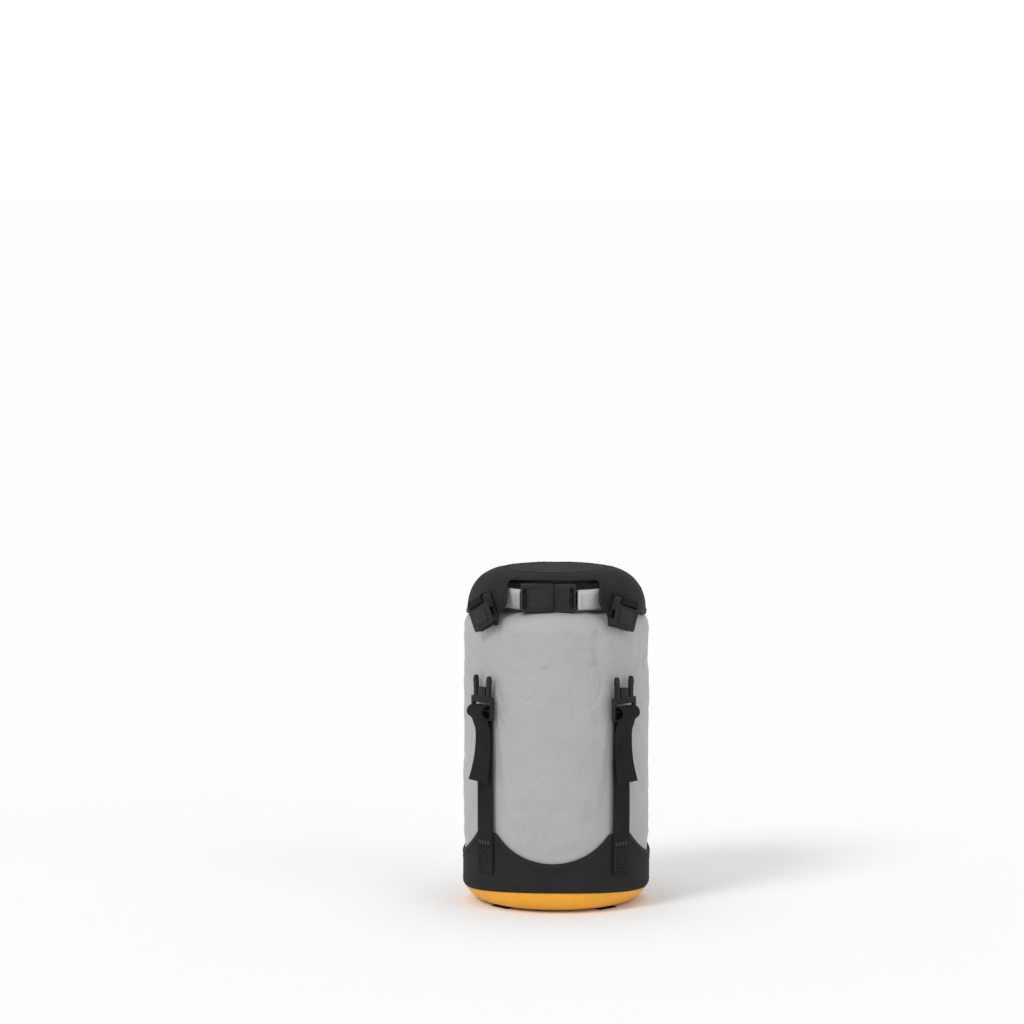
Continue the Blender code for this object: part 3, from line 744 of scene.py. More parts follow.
def make_base():
    """The dished yellow panel that the sack stands on."""
    angles = full_turn(240)
    total = (BASE_TOP - BASE_MIDDLE) + BASE_ROUND * QUARTER_TURN + BASE_FLAT - 0.3 * MM
    depths = np.concatenate([np.linspace(0, 28 * MM, 22), np.linspace(31 * MM, total, 18)])
    points = np.array([[base_point(theta, s) for theta in angles] for s in depths])
    mesh = grid_mesh("base_fabric", points, ring_uvs(angles, RADIUS, depths), closed=True)
    close_holes(mesh, 2 * MM)
    obj = new_object("base_fabric", mesh, "sack", YELLOW)
    thicken(obj, 0.7 * MM, offset=-1)
    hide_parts("base_panel")


def band_low(theta):
    """Height of the reinforcement's lower edge, which dips at the sides."""
    return BAND_LOW + (1.0 - 5.2 * math.sin(theta) ** 2) * MM


def band_point(theta, z):
    """A point on the outside of the charcoal band, which curls in under the sack."""
    out = BAND_OUTER - 0.1 * MM - BASE_FLAT
    r = BASE_FLAT + math.sqrt(out**2 - max(0.0, BASE_MIDDLE - z) ** 2)
    ripple = 0.12 * MM * smooth_noise(radial(theta, RADIUS, z), 16 * MM, 8)
    tuck = -0.7 * MM * max(0.0, 1 - (z - band_low(theta)) / (2.0 * MM)) ** 2
    lumps = 0.25 * MM * smooth_noise(radial(theta, RADIUS, z), 42 * MM, 9)
    return radial(theta, r + ripple + tuck + lumps, z)


def surface_normal(function, theta, s):
    """The outward unit normal of function(theta, s)."""
    around = function(theta + 1e-3, s) - function(theta - 1e-3, s)
    along = function(theta, s + 1e-5) - function(theta, s - 1e-5)
    normal = unit(np.cross(around, along))
    outward = function(theta, s)
    outward[2] = 20 * MM if outward[2] > BAND_HIGH else 0.0
    return normal if np.dot(normal, outward) > 0 else -normal


def seam(function, pairs, lift=0.0):
    """Points and normals along (theta, s) pairs on a surface."""
    points = np.array([function(theta, s) for theta, s in pairs])
    normals = np.array([surface_normal(function, theta, s) for theta, s in pairs])
    return points + normals * lift, normals


def make_band():
    """The charcoal band with its arched upper edge, its binding and its stitches."""
    angles = full_turn(288)
    share = np.concatenate([np.linspace(0, 0.2, 6), np.linspace(0.28, 1.0, 16)])
    low = [band_low(theta) for theta in angles]
    rows = [[a + (band_edge(theta) - a) * t for theta, a in zip(angles, low)] for t in share]
    points = np.array([[band_point(theta, z) for theta, z in zip(angles, row)] for row in rows])
    arc = np.append(angles, FULL_TURN) * RADIUS
    heights = np.array([row + row[:1] for row in rows])
    uvs = np.stack([np.broadcast_to(arc, heights.shape), heights], axis=2)
    mesh = face_away(grid_mesh("band_fabric", points, uvs, closed=True), (0, 0, BAND_HIGH))
    obj = new_object("band_fabric", mesh, "sack", CHARCOAL)
    thicken(obj, CLOTH - 0.2 * MM, offset=-1)
    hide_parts("base_reinforcement")
    edge, normals = seam(band_point, [(t, band_edge(t)) for t in angles])
    binding("band_binding", edge, normals, (0, 0, -1), "sack", 3.4 * MM)
    lines = [seam(band_point, [(t, band_edge(t) - drop) for t in angles], 0.3 * MM)
             for drop in (2.6 * MM, 6.4 * MM)]
    lines += [seam(band_point, [(t, band_low(t) + rise) for t in angles]) for rise in (2.6 * MM, 5.0 * MM)]
    thread_piece("band_stitching", [stitches(*line) for line in lines], "sack", THREAD)


def binding(name, edge, normals, inwards, body, width):
    """Folded tape round a closed edge. Inwards is where the cloth lies from the edge's first point."""
    along = tangents(edge, closed=True)
    ups = np.cross(normals, along)
    ups /= np.linalg.norm(ups, axis=1)[:, None]
    if np.dot(ups[0], inwards) < 0:
        ups = -ups
    section = [
        (0.34 * MM, width), (0.48 * MM, 0.8 * MM), (0.25 * MM, -0.1 * MM), (-0.5 * CLOTH, -0.5 * MM),
        (-CLOTH, -0.2 * MM), (-CLOTH - 0.18 * MM, 0.8 * MM), (-CLOTH - 0.1 * MM, width * 0.9),
        (-CLOTH + 0.2 * MM, width * 0.9), (0.0, width),
    ]
    mesh = sweep(name, edge, normals, ups, section, closed=True)
    return new_object(name, mesh, body, BINDING)


# ---------------------------------------------------------------- webbing
def web_section(width=WEB_WIDE, thick=WEB_THICK, columns=12):
    """A flat strap's section, with soft selvedges: across, then through."""
    half, edge = width / 2, thick / 2
    across = np.linspace(-half + edge, half - edge, columns)
    top = [(x, edge) for x in across]
    right = [(half - edge + edge * math.sin(a), edge * math.cos(a)) for a in (0.8, 1.57, 2.34)]
    bottom = [(x, -edge) for x in across[::-1]]
    left = [(-half + edge - edge * math.sin(a), -edge * math.cos(a)) for a in (0.8, 1.57, 2.34)]
    return top + right + bottom + left


def strap_mesh(name, path, turn, width=WEB_WIDE, bow=0.0, cut=0.0, step=1.6 * MM, twist=0.0):
    """Webbing that follows (distance from the axis, z) points at a station, and bows by up to bow.
    Cut slants its last end, and twist turns that end about the upright by so many degrees."""
    line = resample(rounded_path(path), step)
    across, outward = station_axes(turn)
    centres = np.array([outward * u + np.array((0, 0, v)) for u, v in line])
    along = tangents(centres)
    late = np.clip(np.linspace(-1.0, 1.0, len(line)), 0, 1) ** 2.5
    sides = np.array([Matrix.Rotation(math.radians(twist * k), 3, "Z") @ Vector(across) for k in late])
    mesh = sweep(name, centres, sides, np.cross(sides, along), web_section(width))
    points = np.array([v.co for v in mesh.vertices])
    size = len(points) // len(line)
    share = np.repeat(np.arange(len(line)) / (len(line) - 1), size)
    sideways = (points - np.repeat(centres, size, axis=0)) @ across
    tangent = np.repeat(along, size, axis=0)
    points += tangent * (cut * sideways / width * np.clip((share - 0.8) / 0.2, 0, 1))[:, None]
    ripple = np.array([smooth_noise(p, 26 * MM, turn) for p in points]) * bow
    points += outward * (ripple * np.sin(math.pi * share))[:, None]
    points += across * (ripple * 0.8 * np.sin(math.pi * share))[:, None]
    mesh.vertices.foreach_set("co", points.astype(np.float32).ravel())
    mesh.update()
    return mesh


def tail_path():
    """The free end, out through the adjuster's upper slot, over its bar and down."""
    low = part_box("strap_buckle_front_right")[0].z
    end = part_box("strap_tail_front_right")[0].z
    slot = low + 11.75 * MM
    front = PLUG_BACK + PLUG_THICK
    strap = STRAP_BACK + WEB_THICK
    path = [(STRAP_BACK + 1.1 * MM, slot - 4.6 * MM), (STRAP_BACK + 1.6 * MM, slot - 1.2 * MM)]
    path += [(PLUG_BACK + 0.6 * MM, slot), (front, slot)]
    path += [(front + 2.8 * MM + 4.5 * MM * math.cos(a), slot - 4.5 * MM + 4.5 * MM * math.sin(a))
             for a in np.radians((85, 50, 15, -15, -40))]
    path += [(front + 1.2 * MM, low + 1.2 * MM), (front + 0.9 * MM, low - 1.5 * MM)]
    path += [(strap + 2.0 * MM, low - 7 * MM), (strap + 1.4 * MM, low - 13 * MM)]
    path += [(strap + 2.0 * MM, low - 27 * MM), (strap + 4.6 * MM, low - 41 * MM), (strap + 7.0 * MM, end)]
    return path


def strap_piece(mesh, body, node):
    """A length of webbing in place of a CAD node."""
    obj = new_object(mesh.name, mesh, body, STRAP)
    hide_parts(node)
    return obj


def make_strap(station, turn):
    """One strap: its sewn foot, its standing length and the loose tail past its buckle."""
    middle = STRAP_BACK + WEB_THICK / 2
    low = JOINTS["strap_swing_front_right"]["pos_m"][2]
    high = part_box("strap_webbing_front_right")[1].z
    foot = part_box("strap_anchor_front_right")[0].z
    path = [(middle, low - 0.3 * MM), (middle + 0.3 * MM, (low + high) / 2), (middle, high + 0.8 * MM)]
    mesh = strap_mesh(f"standing_strap_{station}", path, turn, bow=0.9 * MM)
    strap = strap_piece(mesh, f"strap_{station}", f"strap_webbing_{station}")
    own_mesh(strap)
    path = [(middle - 0.1 * MM, foot), (middle - 0.1 * MM, low + 0.2 * MM)]
    strap_piece(strap_mesh(f"sewn_strap_{station}", path, turn), "sack", f"strap_anchor_{station}")
    outer = 1 if turn < 180 else -1
    mesh = strap_mesh(f"loose_tail_{station}", tail_path(), turn, bow=0.5 * MM, cut=-3 * outer * MM,
                      step=1.2 * MM, twist=-22 * outer)
    strap_piece(mesh, f"strap_buckle_{station}", f"strap_tail_{station}")
    box_stitch(station, turn, middle + WEB_THICK / 2)


def box_stitch(station, turn, depth):
    """A sewn box with a cross in it, on the strap's anchor."""
    low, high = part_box(f"strap_stitching_{station}")
    half = WEB_WIDE / 2 - 2.2 * MM
    corners = [(-half, low.z), (half, low.z), (half, high.z), (-half, high.z), (-half, low.z)]
    crossing = [[(-half, low.z), (half, high.z)], [(half, low.z), (-half, high.z)]]
    rows = []
    for line in [corners[i:i + 2] for i in range(4)] + crossing:
        rows.append(flat_stitches(line, turn, depth))
    for k in range(9):
        z = high.z + (4.2 + 0.32 * k) * MM
        rows.append(flat_stitches([(-half, z), (half, z)], turn, depth, length=3.2 * MM, gap=0.1 * MM))
    piece = thread_piece(f"box_stitch_{station}", rows, "sack", THREAD)
    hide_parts(f"strap_stitching_{station}")


def flat_stitches(line, turn, depth, length=2.4 * MM, gap=0.7 * MM):
    """Stitches on a strap's face, between (across, z) points."""
    across, outward = station_axes(turn)
    points = [across * x + outward * depth + (0, 0, z) for x, z in resample(line, 0.5 * MM)]
    return stitches(np.array(points), alike(outward, len(points)), length, gap)


def make_cross():
    """The crossed webbing under the base, two thin straps of which one lies over the other."""
    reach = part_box("base_cross_webbing")[1].x * math.sqrt(2) - WEB_WIDE / 2
    section = web_section(thick=0.6 * WEB_THICK)
    for k, (turn, level) in enumerate(((45, 0.31), (135, 0.69))):
        across, along = station_axes(turn)
        places = np.linspace(-reach, reach, 81)
        levels = np.where(abs(places) < 12 * MM, level, 0.5) * WEB_THICK
        centres = np.array([along * s + (0, 0, z) for s, z in zip(places, levels)])
        sides, ups = alike(across, len(places)), alike((0.0, 0.0, 1.0), len(places))
        strap_piece(sweep(f"base_webbing_{k}", centres, sides, ups, section), "sack", "base_cross_webbing")


make_base()
make_band()
for name, degrees in STATIONS.items():
    make_strap(name, degrees)
make_cross()


# ---------------------------------------------------------------- buckles
def refined_copy(node, name, body, width, segments):
    """The node's shape with moulded, rounded edges."""
    mesh = frame["nodes"][node].data.copy()
    mesh.name = name
    with editing(mesh) as work:
        bmesh.ops.remove_doubles(work, verts=work.verts, dist=1e-5)
        bmesh.ops.dissolve_limit(work, angle_limit=math.radians(1.0), verts=work.verts, edges=work.edges)
    mesh.shade_smooth()
    obj = new_object(name, mesh, body, PLASTIC)
    soften(obj, "moulded_edges", width, segments, 40)
    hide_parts(node)


def pads(name, body, matrix, boxes, bevel):
    """Raised moulded pads, given as (low corner, high corner) in the matrix's space."""
    work = bmesh.new()
    for low, high in boxes:
        made = bmesh.ops.create_cube(work, size=1.0)["verts"]
        bmesh.ops.scale(work, vec=Vector(high) - Vector(low), verts=made)
        bmesh.ops.translate(work, vec=(Vector(high) + Vector(low)) / 2, verts=made)
    bmesh.ops.bevel(work, geom=work.edges[:], offset=bevel, segments=2, affect="EDGES", profile=0.6)
    bmesh.ops.transform(work, matrix=matrix, verts=work.verts)
    mesh = bpy.data.meshes.new(name)
    work.to_mesh(mesh)
    work.free()
    mesh.shade_smooth()
    mesh.set_sharp_from_angle(angle=math.radians(50))
    new_object(name, mesh, body, PLASTIC)


def front_pad(half, front, proud, sunk, low, tall):
    """A pad on the front of a buckle: half its width, how proud and how sunk it is, and its height."""
    return (-half, -front - proud, low), (half, -front + sunk, low + tall)


def make_plug(station, turn):
    """A plug half with its three grip ridges and the lip of its adjuster."""
    body = f"strap_buckle_{station}"
    refined_copy(body, f"plug_{station}", body, 0.55 * MM, 3)
    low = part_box(body)[0].z
    front = PLUG_BACK + PLUG_THICK
    boxes = [front_pad(8.5 * MM, front, 0.45 * MM, 0.5 * MM, low + (15.3 + 1.3 * k) * MM, 0.7 * MM)
             for k in range(3)]
    boxes.append(front_pad(9.6 * MM, front, 1.3 * MM, 0.6 * MM, low + 0.3 * MM, 1.2 * MM))
    pads(f"plug_ridges_{station}", body, Matrix.Rotation(math.radians(turn), 4, "Z"), boxes, 0.2 * MM)


def make_socket(station, turn):
    """A socket half with its raised panel and grip ridges, and the loop that it hangs askew from."""
    body = f"lid_buckle_{station}"
    refined_copy(body, f"socket_{station}", body, 0.9 * MM, 4)
    joint = JOINTS[f"lid_buckle_turn_{station}"]
    askew = max(joint["range_deg"], key=abs)
    to_pivot = Matrix.Translation((0, 0, joint["pos_m"][2]))
    tilt = to_pivot @ Matrix.Rotation(math.radians(askew), 4, "Y") @ to_pivot.inverted()
    to_station = Matrix.Rotation(math.radians(turn), 4, "Z")
    front = SOCKET_BACK + SOCKET_THICK
    low = joint["pos_m"][2] - 12.5 * MM
    boxes = [front_pad(7.5 * MM, front, 0.5 * MM, 0.6 * MM, low + 4.2 * MM, 11.4 * MM)]
    boxes += [front_pad(6.5 * MM, front, 0.35 * MM, 0.5 * MM, low + (1.2 + 0.9 * k) * MM, 0.45 * MM)
              for k in range(3)]
    pads(f"socket_panel_{station}", body, to_station @ tilt, boxes, 0.18 * MM)
    mesh = strap_mesh(f"lid_loop_{station}", lid_web_path(), turn, width=17 * MM, step=0.9 * MM)
    mesh.transform(to_station @ tilt @ to_station.inverted())
    strap_piece(mesh, body, f"lid_webbing_{station}")


def lid_web_path():
    """Down the dome, out through the socket's slot and back over its bar."""
    front = SOCKET_BACK + SOCKET_THICK
    high = LID_TOP - 20 * MM
    slot = high - 4.35 * MM
    centre, lift = 40 * MM, LID_ROUND + 2.15 * MM
    path = [(centre + lift * math.cos(a), LID_SPRING + lift * math.sin(a))
            for a in np.radians((32, 28, 24, 21))]
    path += [(SOCKET_BACK - 1.0 * MM, slot), (front, slot), (front + 1.2 * MM, slot + 0.9 * MM)]
    path += [(front + 1.2 * MM, high + 0.3 * MM), (front - 0.6 * MM, high + 1.4 * MM)]
    path += [(front - 3.6 * MM, high + 1.5 * MM)]
    return path


for name, degrees in STATIONS.items():
    make_plug(name, degrees)
    make_socket(name, degrees)


# ---------------------------------------------------------------- roll-top closure
ROLL_CENTRE = -25 * MM
ROLL_HALVES = (44 * MM, 37 * MM)
ROLL_ENDS = (math.radians(25.5), math.radians(325))


def on_roll(angle, out=0.0):
    """A point on the rolled mouth's loop, and the direction out of the loop."""
    a, b = ROLL_HALVES
    point = np.array((a * math.sin(angle), ROLL_CENTRE - b * math.cos(angle), 0.0))
    normal = unit(np.array((b * math.sin(angle), -a * math.cos(angle), 0.0)))
    return point + normal * out, normal


def spiral(turns, half_thick, half_high, pitch, count=26):
    """A flattened spiral from the outside in, as (out, up) points."""
    line = []
    for i in range(int(turns * count) + 1):
        share = i / count
        angle = FULL_TURN * share - QUARTER_TURN
        t, h = half_thick - pitch * share, half_high - pitch * share
        c, s = math.cos(angle), math.sin(angle)
        line.append((t * math.copysign(abs(c) ** 0.75, c), h * math.copysign(abs(s) ** 0.45, s)))
    return line


def make_roll():
    """The rolled mouth, whose ends show the turns of the roll, and the strip inside it."""
    middle, half = (ROLL_LOW + ROLL_HIGH) / 2, (ROLL_HIGH - ROLL_LOW) / 2
    section = spiral(2.3, 3.35 * MM, half - 0.3 * MM, 0.95 * MM)
    angles = np.linspace(*ROLL_ENDS, 150)
    points = np.zeros((len(angles), len(section), 3))
    for i, angle in enumerate(angles):
        base, normal = on_roll(angle)
        for j, (out, up) in enumerate(section):
            crease = 0.22 * smooth_noise((base[0], base[1], up * 2), 7 * MM, 11) * MM
            crease += 0.25 * smooth_noise(base, 15 * MM, 12) * MM
            fade = max(0.0, 1 - j / 40)
            points[i, j] = base + normal * (out + crease * fade) + np.array((0, 0, middle + up))
    uvs = np.stack(np.meshgrid(lengths_along(section), lengths_along(points[:, 0])), axis=2)
    mesh = grid_mesh("rolled_mouth", points, uvs)
    # the roll uses the grey nylon painted lighter, as a painted highlight
    roll = new_object("rolled_mouth", mesh, "closure", GREY_ROLL_PAINTED_LIGHTER)
    thicken(roll, 0.55 * MM, offset=0)
    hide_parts("rolled_collar")
    stitch_roll_ends()
    strip = frame["nodes"]["collar_stiffener"].data.copy()
    stiffener = new_object("mouth_stiffener", strip, "closure", PLASTIC)
    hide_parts("collar_stiffener")


def stitch_roll_ends():
    """Two upright rows of stitches at each end of the roll."""
    heights = np.linspace(ROLL_LOW + 2.5 * MM, ROLL_HIGH - 2.5 * MM, 30)
    rows = []
    for inset in (3.0, 5.0, -3.0, -5.0):
        end = ROLL_ENDS[0] if inset > 0 else ROLL_ENDS[1]
        base, normal = on_roll(end + math.radians(inset), 3.75 * MM)
        line = np.array([base + (0, 0, z) for z in heights])
        rows.append(stitches(line, alike(normal, len(heights)), 1.8 * MM, 0.5 * MM, 0.4 * MM))
    thread_piece("roll_stitching", rows, "closure", GREY_THREAD)


def make_collar():
    """The unrolled part of the mouth, gathered into folds under the roll."""
    low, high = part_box("collar")
    radii = np.concatenate([np.linspace(0.5 * MM, 40 * MM, 26), np.linspace(42 * MM, high.x, 8)])
    angles = full_turn(180)
    points = np.zeros((len(radii), len(angles), 3))
    for i, r in enumerate(radii):
        for j, theta in enumerate(angles):
            fold = math.sin(17 * theta + 5 * smooth_noise(radial(theta, 30 * MM, 0), 20 * MM, 14))
            share = math.sin(math.pi * min(1.0, r / high.x)) ** 0.7
            dip = -0.1 * MM if r < 0.9 * high.x else 0.0
            z = high.z - 0.55 * MM + (0.45 * fold * share) * MM + dip
            points[i, j] = radial(theta, r, z)
    mesh = grid_mesh("gathered_collar", points, ring_uvs(angles, 40 * MM, radii), closed=True)
    close_holes(mesh, 2 * MM)
    # the collar uses the grey nylon painted lighter, as a painted highlight
    obj = new_object("gathered_collar", mesh, "closure", GREY_ROLL_PAINTED_LIGHTER)
    thicken(obj, 0.5 * MM, offset=0)
    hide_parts("collar")


def make_clip():
    """The buckle that joins the ends of the roll."""
    refined_copy("closure_buckle_female", "clip_socket", "closure", 1.0 * MM, 4)
    refined_copy("closure_buckle_male", "clip_plug", "closure", 0.8 * MM, 3)
    low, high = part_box("closure_buckle_female")
    centre, left = (low.z + high.z) / 2, low.x
    boxes = [((left + 7.0 * MM, low.y - 0.5 * MM, centre - 7.2 * MM),
              (left + 23.6 * MM, low.y + 0.6 * MM, centre + 7.2 * MM))]
    for k in range(4):
        start = left + (28.2 + 2.6 * k) * MM
        boxes.append(((start, low.y + 1.1 * MM, centre - 8.5 * MM),
                      (start + 1.0 * MM, low.y + 2.2 * MM, centre + 8.5 * MM)))
    pads("clip_panel", "closure", Matrix.Identity(4), boxes, 0.25 * MM)
    for side in ("left", "right"):
        node = f"closure_tab_{side}"
        mesh = frame["nodes"][node].data.copy()
        weld(mesh)
        give_flat_uv(mesh)
        mesh.name = f"clip_tab_{side}"
        soften(strap_piece(mesh, "closure", node), "selvedge", 0.3 * MM, 2, 50)


def give_flat_uv(mesh):
    """Cloth directions for a strap that lies along X and stands up in Z."""
    layer = mesh.uv_layers.get("cloth") or mesh.uv_layers.new(name="cloth")
    for loop in mesh.loops:
        p = mesh.vertices[loop.vertex_index].co
        layer.data[loop.index].uv = (p.z, p.x + p.y)


make_roll()
make_collar()
make_clip()


# ---------------------------------------------------------------- lid
DOME = LID_ROUND * QUARTER_TURN
LEG_HALF = math.radians(8.7)
ARCH_TOP = LID_TOP - 5.3 * MM
ARCH_CORNER = 4.2 * MM
ARCH_BEND = ARCH_TOP - ARCH_CORNER
# half the width of the front opening at these heights
ARCH_SIDE = np.array(((44.4, 232), (44.2, 240), (42.9, 243), (38.9, 248), (37.4, 252), (37.2, 264))) * MM
ARCH_FLAT = ARCH_SIDE[-1, 0] - ARCH_CORNER


def depth_at(z):
    """How far down the lid a height is, from the crown's seam."""
    if z < LID_SPRING:
        return DOME + LID_SPRING - z
    return LID_ROUND * math.acos(min(1.0, (z - LID_SPRING) / LID_ROUND))


def height_at(s):
    """The height that far down the lid."""
    if s > DOME:
        return LID_SPRING - (s - DOME)
    return LID_SPRING + LID_ROUND * math.cos(s / LID_ROUND)


def lid_point(theta, s):
    """A point on the outside of the lid, s down from the crown's seam."""
    wrinkle = 0.45 * smooth_noise(radial(theta, 60 * MM, s), 21 * MM, 21)
    wrinkle += 0.35 * smooth_noise(radial(theta, 60 * MM, s * 0.4), 9 * MM, 22)
    fade = clamp(s / (9 * MM))
    gather = 0.13 * math.sin(52 * theta) * math.exp(-((s / (6 * MM)) ** 2))
    out = max(-0.35, wrinkle) * fade + 0.35 * fade + gather
    out -= 0.45 * math.exp(-((s / (1.2 * MM)) ** 2))
    off_leg = clamp((abs(away_from(theta, math.pi / 4)) - 0.15) / 0.25)
    out -= 2.1 * off_leg * clamp((s - 24 * MM) / (26 * MM))
    girth = LID_ROUND + out * MM
    a = min(s, DOME) / LID_ROUND
    z = LID_SPRING + girth * math.cos(a) - max(0.0, s - DOME)
    return radial(theta, LID_FLAT + girth * math.sin(a), z)


def arch_angle(z):
    """Where the side of the front opening is at that height."""
    half = np.interp(z, ARCH_SIDE[:, 1], ARCH_SIDE[:, 0])
    if z > ARCH_BEND:
        half = ARCH_FLAT + math.sqrt(max(0.0, ARCH_CORNER**2 - (z - ARCH_BEND) ** 2))
    above = max(0.0, z - LID_SPRING)
    return math.asin(half / (LID_FLAT + math.sqrt(LID_ROUND**2 - above**2)))


# the opening is widest, in angle, partway round its corner
CORNER_TURNS = np.linspace(0, QUARTER_TURN, 91)
ARCH_STOP = max(CORNER_TURNS, key=lambda a: arch_angle(ARCH_BEND + ARCH_CORNER * math.cos(a)))
ARCH_STOP_HIGH = ARCH_BEND + ARCH_CORNER * math.cos(ARCH_STOP)
ARCH_END = arch_angle(ARCH_STOP_HIGH)


def lean(column, s):
    """The angle at which a column of the lid's cloth lies at that depth, to follow the opening's side."""
    away = min(column, 2 * math.pi - column)
    share = max(0.0, 1 - (away - ARCH_END) / (math.pi / 4 - ARCH_END))
    shift = (arch_angle(height_at(s)) - ARCH_END) * share
    return column + (shift if column < math.pi else -shift)


def lid_edge(theta):
    """Depth of the lid's lower edge: low at a leg, in a notch beside it, and a flap between two."""
    from_leg = abs(away_from(theta, math.pi / 4))
    round_off = clamp((from_leg - LEG_HALF) / math.radians(1.5) + 1)
    leg = LID_LOW + 2 * MM * (1 - math.sqrt(1 - round_off**2))
    if from_leg <= LEG_HALF:
        return depth_at(leg)
    from_flap = abs(away_from(theta, 0))
    flap = LID_LOW + 3.2 * MM + 9.5 * MM * (from_flap / math.radians(35)) ** 1.6
    side = clamp((from_leg - LEG_HALF) / math.radians(0.9))
    return depth_at(leg + (flap - leg) * side)


def lid_columns():
    """Angles from one side of the front opening round the back to the other."""
    front, rear = 0.5 * QUARTER_TURN, 1.5 * QUARTER_TURN
    notch, margin = np.radians((0.3, 0.6, 0.9, 1.5)), math.radians(1.5)
    half = np.concatenate([
        np.linspace(ARCH_END, front + LEG_HALF, 17), front + LEG_HALF + notch,
        np.linspace(front + LEG_HALF + margin, rear - LEG_HALF - margin, 44)[1:],
        rear - LEG_HALF - notch[2::-1], np.linspace(rear - LEG_HALF, rear + LEG_HALF, 17),
        rear + LEG_HALF + notch, np.linspace(rear + LEG_HALF + margin, math.pi - margin, 24)[1:],
    ])
    return np.concatenate([half, [math.pi], FULL_TURN - half[::-1]])


def arch_line():
    """Angles and depths along the top and corners of the front opening."""
    half = [(x, ARCH_TOP) for x in np.linspace(0, ARCH_FLAT, 24)[:-1]]
    half += [(ARCH_FLAT + ARCH_CORNER * math.sin(a), ARCH_BEND + ARCH_CORNER * math.cos(a))
             for a in np.linspace(0, ARCH_STOP, 7)]
    right = []
    for x, z in half:
        r = LID_FLAT + math.sqrt(LID_ROUND**2 - (z - LID_SPRING) ** 2)
        right.append((math.asin(x / r), depth_at(z)))
    return [(-t, s) for t, s in right[:0:-1]] + right


def make_lid():
    """The domed lid, in two patches: over the front opening, and from one side of it to the other."""
    share = np.concatenate([[0, 0.03, 0.07, 0.12], np.linspace(0.18, 1.0, 16)])
    front = arch_line()
    bend = front[-1][1]
    upper = [[(t, s * k) for t, s in front] for k in share]
    columns = lid_columns()
    lower = [[(c, bend * k) for c in columns] for k in share]
    for k in np.linspace(0, 1, 24)[1:]:
        depths = [bend + (lid_edge(c) - bend) * k for c in columns]
        lower.append([(lean(c, s), s) for c, s in zip(columns, depths)])
    points, faces, uvs = [], [], []
    for patch in (upper, lower):
        start, width = len(points), len(patch[0])
        points += [lid_point(t, s) for row in patch for t, s in row]
        uvs += [(t * 62 * MM, s) for row in patch for t, s in row]
        faces += [tuple(start + k for k in face) for face in grid_faces(len(patch), width, False)]
    mesh = mesh_from("lid_dome", points, faces, uvs)
    weld(mesh, 2e-6)
    face_away(mesh, (0, 0, LID_SPRING))
    obj = new_object("lid_dome", mesh, "lid", CHARCOAL)
    thicken(obj, CLOTH, offset=-1)
    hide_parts("lid_shell")
    bottom, rear = lower[-1], len(columns) // 2
    down, up = ([row[side] for row in lower[len(share):]] for side in (0, -1))
    finish_lid(bottom[rear:] + up[-2::-1] + front + down + bottom[1:rear])


def finish_lid(loop):
    """The binding round the lid's edge, which is that loop of (angle, depth) pairs, and its stitches."""
    edge, inner = even_loop(loop, 1.1 * MM)
    binding("lid_binding", *seam(lid_point, edge), (0, 0, 1), "lid", 3.0 * MM)
    ring = np.linspace(0, FULL_TURN, 200)
    rows = [stitches(*seam(lid_point, [(t, s) for t in ring])) for s in (1.8 * MM, 4.2 * MM)]
    points, normals = seam(lid_point, edge, 0.42 * MM)
    rows.append(stitches(points + inner * 2.2 * MM, normals))
    thread_piece("lid_stitching", rows, "lid", THREAD)


def even_loop(pairs, step):
    """The closed loop of (angle, depth) pairs again at even steps, and the way into the cloth from each."""
    pairs = np.array(pairs)
    pairs[:, 0] = np.unwrap(pairs[:, 0])
    around = FULL_TURN * round((pairs[-1, 0] - pairs[0, 0]) / FULL_TURN)
    pairs = np.concatenate([pairs, pairs[:1] + (around, 0)])
    along = lengths_along([lid_point(t, s) for t, s in pairs])
    at = np.linspace(0, along[-1], int(along[-1] / step))[:-1]
    even = np.stack([np.interp(at, along, pairs[:, k]) for k in (0, 1)], axis=1)
    for _ in range(2):
        before, after = np.roll(even, 1, axis=0), np.roll(even, -1, axis=0)
        before[0, 0] -= around
        after[-1, 0] += around
        even = (before + 2 * even + after) / 4
    points, normals = seam(lid_point, even)
    inwards = np.cross(normals, tangents(points, closed=True))
    inwards /= np.linalg.norm(inwards, axis=1)[:, None]
    if inwards[0, 2] < 0:
        inwards = -inwards
    return even, inwards


def crown_point(theta, r):
    """A point on the lid's slightly domed top, whose edge is drawn down by its seam."""
    rise = 0.5 * MM * (1 - (r / LID_FLAT) ** 2)
    wave = 0.22 * MM * smooth_noise(radial(theta, r, 0), 15 * MM, 25)
    sink = -0.4 * MM * math.exp(-((LID_FLAT - r) / (1.2 * MM)) ** 2)
    return radial(theta, r, LID_TOP - 0.5 * MM + rise + wave + sink)


def make_crown():
    """The round panel on top of the lid."""
    radii = np.concatenate([np.linspace(0.5 * MM, 34 * MM, 18), np.linspace(35 * MM, LID_FLAT + 0.3 * MM, 9)])
    points = np.array([[crown_point(theta, r) for theta in full_turn(144)] for r in radii])
    uvs = np.concatenate([points[:, :, :2], points[:, :1, :2]], axis=1)
    mesh = grid_mesh("crown_panel", points, uvs, closed=True)
    close_holes(mesh, 2 * MM)
    obj = new_object("crown_panel", mesh, "lid", CHARCOAL)
    thicken(obj, CLOTH, offset=-1)
    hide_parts("lid_crown")
    ring = np.linspace(0, FULL_TURN, 200)
    points = np.array([crown_point(t, LID_FLAT - 2.0 * MM) for t in ring])
    thread_piece("crown_stitching", [stitches(points, alike((0.0, 0.0, 1.0), 200))], "lid", THREAD)


make_lid()
make_crown()


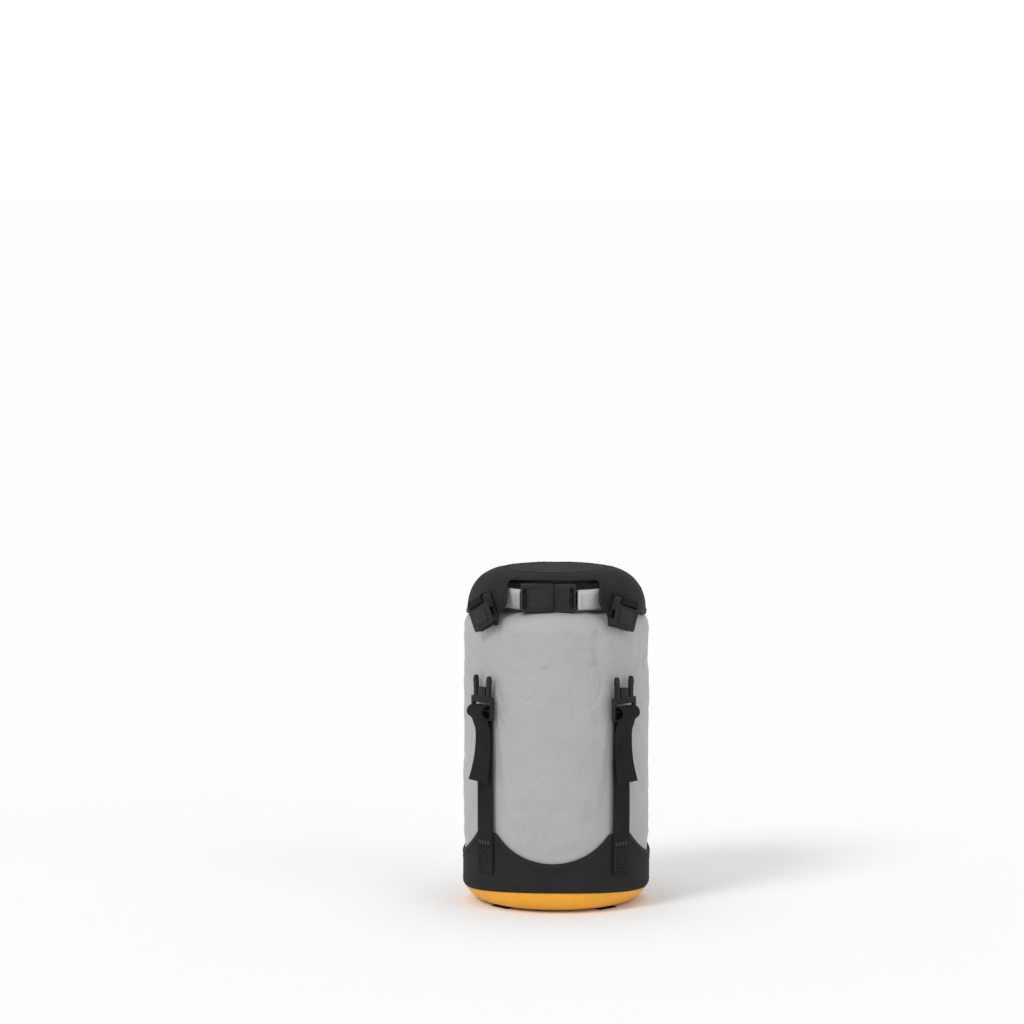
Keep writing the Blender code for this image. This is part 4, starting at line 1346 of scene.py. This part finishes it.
# ---------------------------------------------------------------- the grey cloth's seam and thickness
def make_back_seam():
    """The long seam at the back, sewn twice, with stitches that follow the cloth."""
    tree = BVHTree.FromObject(body_obj, bpy.context.evaluated_depsgraph_get())
    rows = []
    for side in (-1, 1):
        out = radial(math.pi + side * BACK_SEAM_HALF / RADIUS, 1.0, 0.0)
        hits = [tree.ray_cast((0, 0, z), out)[0] for z in np.linspace(BAND_LOW + 25 * MM, LID_LOW, 140)]
        rows.append(stitches(np.array(hits), alike(out, len(hits))))
    return thread_piece("back_seam", rows, None, GREY_THREAD)


back_seam = make_back_seam()
thicken(body_obj, 0.5 * MM, offset=-1)
for piece in (back_seam, body_obj):
    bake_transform(piece)


# ---------------------------------------------------------------- floor, light and camera
FLOOR_HALF = 80
HORIZON, SKY = 1.02, 0.50  # the studio's brightness at the floor's edge and overhead
# azimuth from the front towards +X, elevation, strength and width, with the angles in degrees
LIGHTS = {"key": (-40, 42, 1.20, 20), "fill": (50, 32, 0.35, 40), "top": (180, 80, 0.60, 50)}
CAMERA_AZIMUTH, CAMERA_ELEVATION = math.radians(2.5), math.radians(8.5)
CAMERA_DISTANCE = 3.2
FRAME_WIDTH = 0.8393
SENSOR_WIDTH = 36
# the camera aims past the middle of the sack, so that the sack stands low and right of the middle
AIM_LEFT, AIM_UP = 36.5 * MM, 181 * MM


def make_stage():
    """A pale floor without a visible edge, and a white studio that is dimmer overhead."""
    mesh = bpy.data.meshes.new("floor")
    corners = [(x * FLOOR_HALF, y * FLOOR_HALF, 0) for x, y in ((-1, -1), (1, -1), (1, 1), (-1, 1))]
    mesh.from_pydata(corners, [], [(0, 1, 2, 3)])
    floor = bpy.data.objects.new("floor", mesh)
    bpy.context.scene.collection.objects.link(floor)
    made, _ = blank("floor_white", (0.94, 0.94, 0.94), 0.9, Specular_IOR_Level=0.1)
    mesh.materials.append(made)
    world = bpy.data.worlds.new("studio")
    bpy.context.scene.world = world
    world.use_nodes = True
    n = Nodes(world)
    split = n.nodes.new("ShaderNodeSeparateXYZ")
    n.links.new(n.nodes.new("ShaderNodeTexCoord").outputs["Generated"], split.inputs[0])
    background = n.nodes["Background"]
    background.inputs["Color"].default_value = (1, 1, 1, 1)
    n.links.new(n.ramp(split.outputs[2], 0.18, 0.45, HORIZON, SKY), background.inputs["Strength"])


def direction(azimuth, elevation):
    """The unit vector towards that azimuth from the front and that elevation."""
    flat = math.cos(elevation)
    return Vector((math.sin(azimuth) * flat, -math.cos(azimuth) * flat, math.sin(elevation)))


def soft_sun(name, azimuth, elevation, strength, angle):
    """A wide, even light from that direction."""
    light = bpy.data.lights.new(name, "SUN")
    light.energy = strength
    light.angle = math.radians(angle)
    obj = bpy.data.objects.new(name, light)
    bpy.context.scene.collection.objects.link(obj)
    away = direction(math.radians(azimuth), math.radians(elevation))
    obj.rotation_euler = away.to_track_quat("Z", "Y").to_euler()


def make_camera():
    """A long lens, a little above the sack and almost in front of it."""
    data = bpy.data.cameras.new("camera")
    data.sensor_width = SENSOR_WIDTH
    data.lens = SENSOR_WIDTH * CAMERA_DISTANCE / FRAME_WIDTH
    data.clip_end = 50
    camera = bpy.data.objects.new("camera", data)
    bpy.context.scene.collection.objects.link(camera)
    back = direction(CAMERA_AZIMUTH, CAMERA_ELEVATION)
    right = Vector((math.cos(CAMERA_AZIMUTH), math.sin(CAMERA_AZIMUTH), 0))
    centre = Vector((0, 0, LID_TOP / 2))
    camera.location = centre + back * CAMERA_DISTANCE
    aim = centre - right * AIM_LEFT + back.cross(right) * AIM_UP
    camera.rotation_euler = (aim - camera.location).to_track_quat("-Z", "Y").to_euler()
    bpy.context.scene.camera = camera


make_stage()
for name, values in LIGHTS.items():
    soft_sun(name, *values)
make_camera()
bpy.context.scene.view_settings.view_transform = "Standard"
